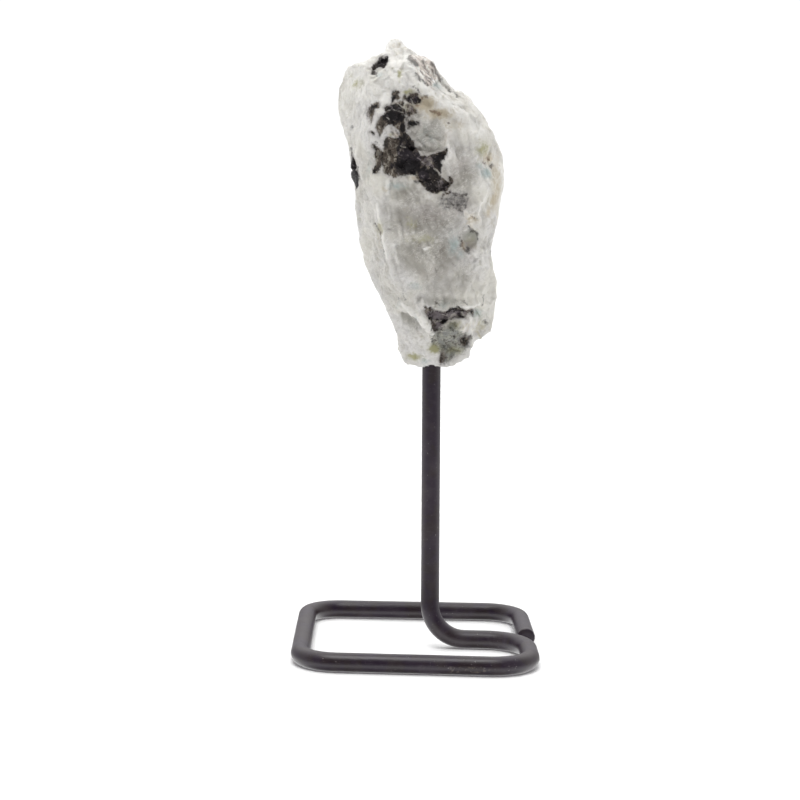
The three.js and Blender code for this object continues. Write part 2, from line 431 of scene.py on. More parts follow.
def rodCorners():
    z = stand["rod"] / 2
    right = stand["width"] / 2
    inner = right - stand["returnInset"]
    slope = math.tan(math.radians(stand["skew"]))
    barY = stand["depth"] / 2
    corner = stand["cornerRadius"]
    bend = stand["returnRadius"]
    returnY = stand["returnY"]
    return [
        ((right, returnY + stand["freeEnd"], z), 0),
        ((right, barY + slope * right, z), corner),
        ((-right, barY - slope * right, z), corner),
        ((-right, -barY + slope * right, z), corner),
        ((inner, -barY - slope * inner, z), bend),
        ((inner, returnY, z), bend),
        ((stand["footX"], returnY, z), corner),
        ((postAxis(stand["top"]), returnY, stand["top"]), 0),
    ]


# The centre line with its corners rounded, and stations at an even step.
def rodLine():
    corners = [(np.array(point, float), radius) for point, radius in rodCorners()]
    line = [corners[0][0]]
    for (before, _), (point, radius), (after, _) in zip(corners, corners[1:], corners[2:]):
        into = (point - before) / np.linalg.norm(point - before)
        out = (after - point) / np.linalg.norm(after - point)
        turn = math.acos(np.clip(into @ out, -1, 1))
        start = point - into * radius * math.tan(turn / 2)
        inward = np.cross(np.cross(into, out) / math.sin(turn), into)
        centre = start + inward * radius
        for angle in np.linspace(0, turn, math.ceil(turn * radius / stand["step"]) + 1):
            line.append(centre - inward * radius * math.cos(angle) + into * radius * math.sin(angle))
    line.append(corners[-1][0])
    stations = [line[0]]
    for start, end in zip(line, line[1:]):
        count = max(1, round(np.linalg.norm(end - start) / stand["step"]))
        stations += [start + (end - start) * k / count for k in range(1, count + 1)]
    return np.array(stations)


# Points all round the rod, or round a smaller circle at its end.
def rodRing(centre, across, up, radius):
    turns = np.arange(stand["sides"]) * 2 * math.pi / stand["sides"]
    circle = np.cos(turns)[:, None] * across + np.sin(turns)[:, None] * up
    return centre + circle * radius


# A cut end: its edge is rounded in small steps, and two smaller rings close it.
def cutEnd(point, outward, across, up):
    radius = stand["rod"] / 2
    rim = stand["endRound"]
    rings = []
    for angle in np.radians([0, 30, 60, 90]):
        centre = point - outward * rim * (1 - math.sin(angle))
        rings.append(rodRing(centre, across, up, radius - rim * (1 - math.cos(angle))))
    return rings + [rodRing(point, across, up, radius * share) for share in (0.5, 0.02)]


def makeStand():
    line = rodLine()
    ahead = np.gradient(line, axis=0)
    ahead /= np.linalg.norm(ahead, axis=1, keepdims=True)
    across = np.array([1.0, 0.0, 0.0])
    rings = []
    for station, (point, forward) in enumerate(zip(line, ahead)):
        across = across - forward * (across @ forward)
        across /= np.linalg.norm(across)
        up = np.cross(forward, across)
        if station == 0:
            rings += cutEnd(point, -forward, across, up)[::-1]
        elif station == len(line) - 1:
            rings += cutEnd(point, forward, across, up)
        else:
            rings.append(rodRing(point, across, up, stand["rod"] / 2))
    points = np.concatenate(rings)
    sides = stand["sides"]
    quads = []
    for start in range(0, len(points) - sides, sides):
        for side in range(sides):
            after = (side + 1) % sides
            quads.append((start + side, start + after, start + sides + after, start + sides + side))
    ends = [tuple(range(sides))[::-1], tuple(range(len(points) - sides, len(points)))]
    piece = makeMesh("bentRod", points, quads + ends, coatMaterial())
    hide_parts("wire_stand")
    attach(piece, "root")


# Matt black powder coat, a little dusty, with a few chips and a rubbed stretch.
def coatMaterial():
    material, graph, place = newMaterial("powderCoat")
    grain = graph.noise(place, 2.6, 3.0, 0.6)
    cloud = graph.noise(place, 0.12, 4.0, 0.6)
    worn = graph.noise(place, 0.9, 4.0, 0.65, 0.4)
    chips = graph.noise(place, 1.7, 2.0, 0.5)
    hue = graph.noise(place, 0.16, 3.0, 0.6, 0.5)
    smear = graph.noise(graph.stretched(place, 0.3), 0.7, 4.0, 0.65)
    dusty = cloud.step(0.42, 0.75) * 0.5 + worn.step(0.55, 0.8) * 0.25
    dusty = (dusty + smear.step(0.52, 0.70) * 0.3).held()
    colour = graph.mix(hue.step(0.45, 0.58), paint(*stand["coat"]), paint(*stand["brownCoat"]))
    colour = graph.mix(dusty, colour, paint(*stand["dust"]))
    split = graph.node("SeparateXYZ", {}, {0: place})
    x, y, z = [Wire(graph, socket) for socket in split.outputs]
    onFrontBar = y.step(-26.0, -30.0)
    # a rubbed stretch low on the front bar
    scuffed = x.step(4.0, 9.0) * x.step(20.0, 14.0) * z.step(0.8, 1.4) * z.step(2.9, 2.2)
    scuffed = scuffed * onFrontBar * worn.step(0.50, 0.62)
    colour = graph.mix(scuffed * 0.5, colour, paint(*stand["scuff"]))
    # most chips are on the front bar
    chipped = chips.step(0.70, 0.74) * (0.35 + 0.65 * onFrontBar) * cloud.step(0.40, 0.55)
    colour = graph.mix(chipped, colour, paint(*stand["chip"]))
    height = grain * 0.7 + worn * 0.3 - chipped * 0.4
    finishMaterial(graph, {
        "Base Color": colour,
        "Roughness": 0.32 + dusty * 0.18 + grain * 0.08,
        "IOR": 1.5,
        "Specular IOR Level": 0.5,
        "Normal": graph.bump(height, 0.35, stand["coatRelief"] * millimetre),
    })
    return material


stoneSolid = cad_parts["moonstone"].data
stoneFaces = BVHTree.FromPolygons(
    [vertex.co for vertex in stoneSolid.vertices],
    [face.vertices for face in stoneSolid.polygons])


# Where a dot of the camera's frame falls on the stone's front, as (x, z). One that misses the
# stone by a little falls on the upright plane through its middle.
def onStone(across, down):
    eye = Vector(camera["place"]) * millimetre
    middle = camera["dots"] / 2
    reach = camera["lens"] / camera["sensor"] * camera["dots"]
    way = cameraTurn().to_3x3() @ Vector((across - middle, middle - down, -reach))
    spot = stoneFaces.ray_cast(eye, way)[0]
    if spot is None:
        spot = eye - way * (eye.y / way.y)
    return spot.x / millimetre, spot.z / millimetre


def laid(line):
    return [onStone(*dot) for dot in line]


# The body's form, as in the CAD: its outline from the front as (x, z), the cleavage faces that
# cut it back, and the dents and ridges of its front and back.
stone = {
    "middle": (0.0, 0.0, 116.0),
    "frontDepth": 18.5,
    "backDepth": 19.5,
    "boxiness": 3.4,  # 2 is an oval cross-section, and more is squarer
    "wornEdge": 0.35,  # how softly two faces meet
    "grid": (118, 58, 240),  # quads across, deep and high
    "halfBox": (20.5, 15.0, 42.0),  # of the box that the grid is laid on
    # the hole for the post, which leans with it
    "drill": 2.55,  # radius
    "drillTop": 92.3,
    "drillMiddle": 76.0,  # the height at which the hole's axis is taken
    "foot": 84.0,  # the hole is sought below this height
    "rimSnap": 0.26,  # points this near to its edge are moved onto it
    "quiet": (2.4, 4.5),  # from its axis: no relief up to the first, all of it from the second
    "glue": (0.5, 1.0),  # beyond its edge: pale with glue up to the first, and none from the second
}

outline = [
    (-10, 157.2), (-8, 157.4), (-6.4, 155.4), (-3.2, 153.5), (0.8, 151.6), (2.6, 148.6),
    (5.4, 145.5), (10.2, 142.6), (14.2, 137.6), (17, 133.4), (19.1, 128.6), (19.7, 121.4),
    (18.5, 115), (17.7, 110), (16.8, 104.2), (17.3, 100.4), (18.7, 96.4), (18.2, 88),
    (17.5, 83.4), (13.4, 80.8), (12.3, 78.8), (11.9, 76.6), (8.8, 75.3), (5, 74.2),
    (-0.5, 73.6), (-4.6, 74.4), (-5.8, 77.4), (-6.6, 82), (-9, 87.6), (-12.4, 93.8),
    (-15.3, 99.8), (-16.4, 105), (-18, 114), (-18.1, 118.5), (-19.4, 125), (-20.3, 131),
    (-22.4, 136), (-23.4, 141), (-23, 145), (-21.9, 148), (-20.8, 149.9), (-16.6, 151.2),
    (-13.7, 153.1), (-11.4, 154.2), (-10.9, 156),
]

# degrees round from the front, degrees up, and a point on the face
faces = [
    (-64, 4, (-18.8, -8, 138)),
    (-60, -12, (-13.5, -10, 106)),
    (-44, -30, (-8.2, -8.5, 88)),
    (-14, 14, (-11, -16.8, 140)),
    (-4, -2, (-2, -17.6, 112)),
    (6, -9, (6, -17, 100)),
    (20, 4, (10, -16.6, 122)),
    (62, 2, (18, -6, 120)),
    (48, -16, (16, -8, 92)),
    (24, 34, (5, -13.6, 143)),
    (-6, 50, (-9, -3.6, 156.6)),
    (176, 46, (-9, 4.6, 156.6)),
    (2, -42, (4, -10.5, 80)),
    (118, 8, (17, 10, 118)),
    (140, 30, (6, 12, 142)),
    (172, 12, (-4, 17.4, 134)),
    (184, -6, (0, 18.2, 108)),
    (166, -34, (4, 12.4, 84)),
    (-128, 10, (-18, 12.4, 134)),
    (-122, -20, (-13, 9, 100)),
    (-150, 44, (-13, 9, 148)),
]

# centre, half size, tilt in degrees, depth (below zero for a lump) and the rim's share
frontDents = [
    ((3.6, 147.2), (5.6, 3.2), -42, 1.5, 0.5),
    ((-1, 133), (6.6, 4.6), -18, 2.2, 0.35),
    ((-7, 128), (5.4, 5.6), -30, 0.8, 0.4),
    ((2.4, 121.4), (4.6, 2.6), -35, 0.9, 0.5),
    ((7, 116.8), (4.2, 2.6), 0, 1, 0.6),
    ((10.2, 107.2), (2.6, 3.8), 20, 1.2, 0.4),
    ((6, 86.6), (6.4, 3.6), 10, 3.2, 0.35),
    ((7, 80), (6.4, 5.4), 0, 1.6, 0.5),
    ((-3.4, 86.6), (3.6, 2.6), -38, 1.4, 0.6),
    ((-13.6, 150.6), (3.6, 2.4), 30, 2.2, 0.8),
    ((-10, 146), (3, 4), 0, 0.9, 0.9),
    ((-19, 141), (5.4, 8), 4, -0.7, 0.9),
    ((10.6, 130), (5.4, 7.4), 20, -0.8, 0.8),
    ((-2.6, 80.4), (4, 6), 0, -0.9, 0.7),
]

# line, half width and height (below zero for a groove)
frontRidges = [
    ([(-5, 151.2), (-2.7, 146.2), (0.6, 143.2), (3.8, 140.4), (11.4, 137.2)], 1.5, 1.3),
    ([(-14.4, 139), (-13.4, 120), (-10.6, 107), (-9, 93)], 1.4, 0.6),
    ([(-11.6, 110), (-9.8, 100)], 0.9, -0.9),
    ([(4.9, 132.4), (5.2, 123)], 1.3, 0.9),
    ([(11, 101.8), (8.8, 97), (7, 92.6)], 1.8, -1.1),
    ([(0.2, 91.4), (5, 90.6), (13.6, 91.4)], 1.1, 0.9),
    ([(-6.6, 91.4), (-3, 88.8), (0.4, 86), (2.4, 83.4)], 1, 1.2),
    ([(13.6, 90), (12.8, 81.4)], 0.9, -1.5),
    ([(15.4, 134), (16.6, 122), (15.4, 110)], 1.2, 0.6),
]

backDents = [
    ((-6, 138), (8, 6), 24, 1.8, 0.4),
    ((7, 124), (5, 8), -14, 1.5, 0.5),
    ((-3, 100), (7, 5), -10, 1.3, 0.4),
    ((5, 88), (6, 4), 12, 1.8, 0.4),
]

backRidges = [
    ([(-14, 146), (-4, 128), (-8, 110)], 1.6, 1.1),
    ([(13, 136), (3, 112), (8, 96)], 1.5, 0.9),
]

# Small features of the front are given by where they show in the camera's frame, as
# (across, down), and onStone brings them onto the stone.

# closed outlines
frontPatches = {
    "dark": [
        # beside the peak, with its hook
        [(387, 54.5), (388.3, 58), (388, 63), (384, 69), (381.5, 68), (377, 68.2), (375.3, 70),
         (374.5, 74.5), (372.3, 74.5), (373, 70), (372.2, 67.3), (374.5, 62.5), (381, 57), (385, 57)],
        # crescent
        [(379.5, 101.5), (380.5, 103.5), (379, 108), (375, 109.5), (370.3, 123), (369, 119),
         (366.8, 116), (366.2, 112), (368, 108), (371.5, 104.5)],
        # two beads under the ridge, and a sliver beside them
        [(393.5, 90.8), (397, 90), (399.5, 91.3), (398.5, 94.5), (400, 98.5), (398, 100), (395, 99.5),
         (392.3, 102.5), (391.8, 98)],
        [(405, 98.5), (407, 95.5), (416, 92.6), (419.2, 92.8), (419.3, 97), (420.8, 99.5), (419.5, 103),
         (416, 104.2), (411.5, 104.4), (405, 100.8)],
        [(404.8, 94.3), (406, 94.8), (403.8, 101.3), (402.8, 101), (403, 97.5)],
        # upper cluster
        [(386, 105.3), (389.5, 105), (392, 103.5), (401, 101), (404, 102), (403, 106), (405.5, 114),
         (391, 113.5), (385.5, 112), (384.5, 108)],
        # black band under it, with two arcs that hang from it
        [(384.5, 113.5), (389, 112), (400, 113.2), (404.5, 115.8), (404, 119), (407.3, 125.5),
         (404.3, 132), (401.5, 132), (392.3, 123.3), (389, 123.8), (385.5, 126.5), (382.5, 132.7),
         (380, 134.3), (378.6, 137), (377.8, 132.5), (376, 130), (376.5, 126), (380.3, 116.5),
         (383.5, 115)],
        # brown lens beside the band, a spot under it, and a splinter on the left
        [(405, 105), (408, 103.6), (412, 106), (415.5, 109.5), (416.3, 112.6), (412, 115),
         (407.5, 115.8), (405.3, 113), (406, 109)],
        [(408.5, 121.5), (413, 120.8), (416, 121.9), (420.2, 121.6), (419, 125.2), (413, 126.6),
         (409, 125.6)],
        [(371, 130.8), (372.8, 131.3), (373.8, 133.8), (372.5, 134.4)],
        # bars on the left
        [(373.6, 143), (377, 146), (380, 149.5), (379.5, 154), (381.8, 163.5), (380.2, 167),
         (380, 170), (378, 173), (374, 173), (372.8, 170), (374, 166), (376, 163), (374.8, 158),
         (376, 151), (374, 147)],
        [(381, 149.5), (383, 151.5), (386, 158), (389.5, 168), (388, 174), (384, 173), (383.5, 167),
         (380.9, 163)],
        # the large crystal
        [(386, 139.5), (390, 137.8), (396.5, 139.8), (401, 134.5), (406.5, 134), (411, 140),
         (414, 142.5), (419, 155), (421.5, 156.2), (425, 155.7), (428.5, 156.8), (431, 156.5),
         (431.5, 159.5), (428.5, 161.5), (431, 164.5), (429.5, 167.5), (424, 166), (417, 171),
         (416.5, 174), (400, 176), (396, 177.5), (389.8, 175.8), (388.7, 171), (386, 166),
         (383.4, 153), (384, 142)],
        # link between the arcs and the large crystal
        [(399, 131.5), (402, 130), (406, 130.5), (407.5, 137.5), (400, 137.5), (402, 134.5)],
        # its wing
        [(427, 157.5), (431, 155.5), (439, 151.7), (447.8, 148.4), (444, 156), (443.7, 160),
         (441, 161.3), (441, 173), (433.5, 170), (427, 168), (429, 163)],
        # the streaky prism below it
        [(419, 168), (424, 165.8), (429, 167.3), (441, 175.2), (449.3, 184), (446, 190), (437, 191.8),
         (432, 191.6), (422, 184.7), (418, 180.7), (416.3, 177), (416.3, 172.5)],
        [(449.5, 177), (452, 177.7), (454.7, 180.2), (452.3, 183.8), (450, 183.2), (448.5, 180.2)],
        [(440.3, 198.3), (443, 194.3), (449.2, 190.5), (449, 193)],
        # in the pit under the ledge
        [(424.5, 305.3), (428, 307), (430.7, 306.3), (431.7, 310), (434.5, 311.5), (444, 311.5),
         (450, 307.5), (459.5, 307.5), (464, 309.5), (470.5, 309), (473.3, 310), (474.5, 312),
         (473.5, 315.3), (471.5, 313.5), (467, 311.7), (464.7, 315.6), (460, 317.6), (451, 318.3),
         (439, 327.3), (437, 331), (434.6, 332.5)],
        # at the foot
        [(460, 339), (464, 337.5), (468, 338), (469, 342), (466, 345.5), (461.5, 345), (459.8, 342)],
        [(439.8, 352), (443, 351.5), (445, 355), (445.6, 359), (444.6, 362.3), (442, 363),
         (440, 361.5), (440.6, 357)],
    ],
    # crumbly grey-green rock at the foot
    "rock": [
        [(431, 338), (434, 333.5), (440, 329.5), (446, 327), (450, 322.5), (455, 325),
         (460, 330), (465, 334), (471, 337), (471, 340), (469, 345.5), (465, 350), (458, 354),
         (453, 358), (447, 360), (446, 363), (441, 362), (439, 351), (436, 346), (431.5, 342)],
    ],
    # a crumbly grey patch beside the middle
    "crumb": [
        [(441, 199), (448, 194), (454, 191.5), (463, 191.5), (469, 195), (470, 203), (467, 209),
         (462, 214), (444, 208)],
    ],
    # a smooth grey-green lens
    "lens": [
        [(464, 240), (465, 234), (469, 231), (474, 231.5), (477.5, 235), (478, 240), (476, 245),
         (471.5, 248), (466.5, 246.5)],
    ],
    # flaky mica beside the peak
    "mica": [
        [(409, 55), (425, 57.5), (436, 69), (441, 78), (432, 87), (427, 86), (418, 77)],
    ],
    # a glassy hollow
    "glassy": [
        [(406, 119), (414, 114), (424, 114.5), (436, 119), (444, 124.5), (447, 133), (446, 148),
         (438, 152), (428, 154.5), (421, 154), (417, 146), (409, 135)],
    ],
    # where the crystals are a smooth slate grey: a painted sheen along a facet
    "slateSheen": [
        [(399, 149), (404, 148), (411, 150.5), (418, 151), (421.5, 156.5), (419, 160), (402, 160),
         (398, 155)],
        [(409, 97.5), (413, 95.5), (417, 95), (418.5, 98.5), (416, 102.5), (412, 102)],
        [(417, 174), (422, 171), (430, 175), (428, 180), (421, 180)],
    ],
}

# pale veins over the crystals, dark marks and dots, and creamy ridges and edges: a line and its
# half width in millimetres
paleVeins = [
    ([(402, 91), (402, 97), (398, 101.5), (392.5, 104)], 0.26),
    ([(402.5, 98), (406, 103), (411, 105), (416, 105)], 0.18),
    ([(387, 111), (392, 109.5), (398, 110.5), (404, 112.5)], 0.12),
    ([(399, 103), (403.5, 108)], 0.12),
    ([(410.5, 97.5), (413, 101), (412.5, 104)], 0.12),
    ([(406.5, 97), (409, 95.5)], 0.16),
    ([(433, 169), (437, 171.8), (441, 174.6)], 0.16),
    ([(378, 64), (383, 62.5), (387, 62.5)], 0.04),
    ([(386.5, 117.5), (390, 119.5)], 0.12),
    ([(389, 133.5), (392.5, 138.5)], 0.22),
    ([(393.5, 132), (398, 137)], 0.22),
    ([(379.9, 148.5), (381, 152), (381, 158), (381.5, 164)], 0.12),
    ([(421, 161.5), (425, 164.5)], 0.16),
    ([(428, 159.5), (430.5, 161.5)], 0.2),
    ([(400, 145.5), (406, 147)], 0.14),
    ([(449, 318.5), (455, 314.5), (460, 317.5)], 0.3),
    ([(433, 320.5), (437, 322.5), (442, 320.5)], 0.18),
    ([(441.5, 313.5), (446, 315.5)], 0.2),
    ([(461, 312.5), (465, 316)], 0.24),
]

darkMarks = [
    ([(406, 118), (409.5, 123), (408, 128)], 0.4),
    ([(375, 222), (379.5, 232), (382, 244), (383.5, 255)], 0.03),
    ([(392, 132.5), (394.5, 135), (396.5, 137.5)], 0.2),
    ([(396.5, 131.5), (399, 135)], 0.24),
    ([(386.5, 131), (386, 135)], 0.12),
    ([(433, 111.3), (437, 112.4), (441, 114.6)], 0.22),
    ([(409.3, 59), (412, 62), (416, 66)], 0.42),
    ([(409.8, 56.5), (412.5, 59), (415, 61.5)], 0.16),
    ([(416.8, 75.8), (420, 79.8), (425.3, 82.5)], 0.34),
    ([(425.8, 81.5), (428, 85.5)], 0.18),
    ([(430.3, 65), (433.5, 68), (436.3, 73), (440.8, 79.3)], 0.36),
    ([(430.8, 69.5), (435, 75.5)], 0.18),
    ([(420.6, 66), (424, 69), (428, 73)], 0.14),
    ([(422.5, 60.5), (423.2, 62.5)], 0.24),
    ([(423.5, 66), (427, 70)], 0.1),
    ([(420, 71.5), (423, 75), (427.5, 79)], 0.14),
    ([(424, 71.5), (428, 76)], 0.08),
    ([(430, 77.5), (431, 82), (431.5, 86)], 0.16),
    ([(413, 86.3), (416, 88), (419.5, 91)], 0.16),
    ([(449, 88.5), (453, 91), (458, 94.5)], 0.12),
    ([(421.8, 99), (424, 97.5), (427, 97)], 0.24),
    ([(416, 105), (418, 106.8)], 0.2),
    ([(376, 71.5), (376.8, 76.5)], 0.16),
    ([(430.5, 110.5), (436, 113.5)], 0.14),
    ([(439.5, 115), (440, 115.4)], 0.26),
    ([(448.5, 123.5), (448.9, 123.8)], 0.18),
    ([(376.3, 141), (377.5, 144.3)], 0.14),
    ([(453, 193.3), (457, 194.6), (461, 195), (466, 194.5)], 0.34),
    ([(459, 210.3), (462, 211.5)], 0.22),
    ([(451.5, 204), (454, 205.6)], 0.14),
    ([(447, 206.5), (450, 207.5)], 0.16),
    ([(457.5, 203), (459, 205)], 0.16),
    ([(465.5, 206), (467, 207.5)], 0.18),
    ([(469, 226.8), (470, 228), (472, 229.7)], 0.26),
    ([(472, 232.2), (474.5, 232), (477, 234)], 0.32),
    ([(477.5, 236), (478.5, 240)], 0.1),
    ([(461.6, 240.5), (462.4, 243.8)], 0.38),
    ([(458.5, 245), (462, 247), (466, 250), (469, 251.7)], 0.36),
    ([(468.6, 247.6), (468.9, 248)], 0.28),
    ([(460, 236.3), (460.6, 237.6)], 0.22),
    ([(471, 217.5), (475, 219)], 0.16),
    ([(488, 158.5), (488.7, 159.8)], 0.26),
    ([(484, 161.5), (485.5, 163)], 0.2),
    ([(491.6, 164.8), (493.4, 167.2)], 0.28),
    ([(415.3, 181), (416.3, 183.3)], 0.24),
    ([(350, 148), (352, 154), (353.5, 160)], 0.22),
    ([(353, 127), (353.1, 127.5)], 0.2),
    ([(362.5, 139.5), (362.6, 140.5)], 0.18),
    ([(379.5, 231.5), (382, 233)], 0.18),
    ([(403.3, 294.5), (403.8, 298.5), (405.6, 300.3)], 0.08),
    ([(397, 298.8), (397.6, 299.4)], 0.16),
    ([(432, 329), (436, 325), (441, 322.5), (447.5, 319.7)], 0.22),
    ([(436, 327.8), (441, 325)], 0.14),
    ([(449.8, 328), (453, 330)], 0.16),
    ([(454, 336.3), (454.6, 337.2)], 0.26),
    ([(440, 344.5), (444, 347.5), (447, 350)], 0.18),
    ([(450, 349.5), (455, 351.5), (459, 350)], 0.18),
    ([(431.6, 339.5), (433, 343)], 0.22),
    ([(447, 345.5), (448.3, 347)], 0.22),
    ([(472.6, 310), (473.3, 314.5)], 0.32),
    ([(485.7, 321), (486.6, 322)], 0.36),
    ([(483.5, 296), (483, 300), (481.5, 304)], 0.08),
    ([(454, 265), (454.3, 265.5)], 0.14),
    # these three are dark marks, and they also mottle the painted shadow under the ledge over the pit
    ([(436, 301), (439, 304)], 0.16),
    ([(455, 299.5), (458, 301)], 0.12),
    ([(463, 301), (466, 304)], 0.14),
]

milkLines = [
    ([(377, 205), (380, 220), (384, 232), (385.5, 246), (386.5, 258)], 0.45),
    ([(393, 245), (395, 255), (397, 262)], 0.6),
    ([(424, 249), (430, 247)], 0.3),
    ([(396, 43), (393, 55), (394, 70)], 2.3),
    ([(404, 60), (411, 73), (421, 85), (432, 95), (444, 104), (460, 112)], 1.3),
    ([(387, 92), (383, 101), (382, 111)], 1.2),
    ([(352, 73), (362, 75)], 1.6),
    ([(353, 84), (361, 91), (372, 95)], 1.5),
    ([(456, 108), (468, 119), (476, 131)], 1.5),
    ([(446.5, 124), (447.5, 140), (449, 158)], 0.45),
    ([(424, 303), (434, 309), (441, 309)], 0.35),
    ([(458, 306.5), (470, 306.5), (479, 303)], 0.3),
    ([(402, 304), (411, 311), (421, 319.5), (428, 327), (433.5, 334)], 0.9),
    ([(470.5, 316), (471.8, 328), (471.8, 344)], 0.55),
    ([(486.5, 190), (482, 203), (479, 216)], 0.25),
    ([(499, 165), (502, 180), (499, 205)], 0.8),
    ([(388, 183), (387, 192)], 0.9),
    ([(456, 196.8), (463, 197)], 0.24),
    ([(467, 214), (471, 223)], 1.2),
    ([(463, 232), (466, 230)], 0.4),
    ([(461, 319), (464, 327)], 0.9),
]

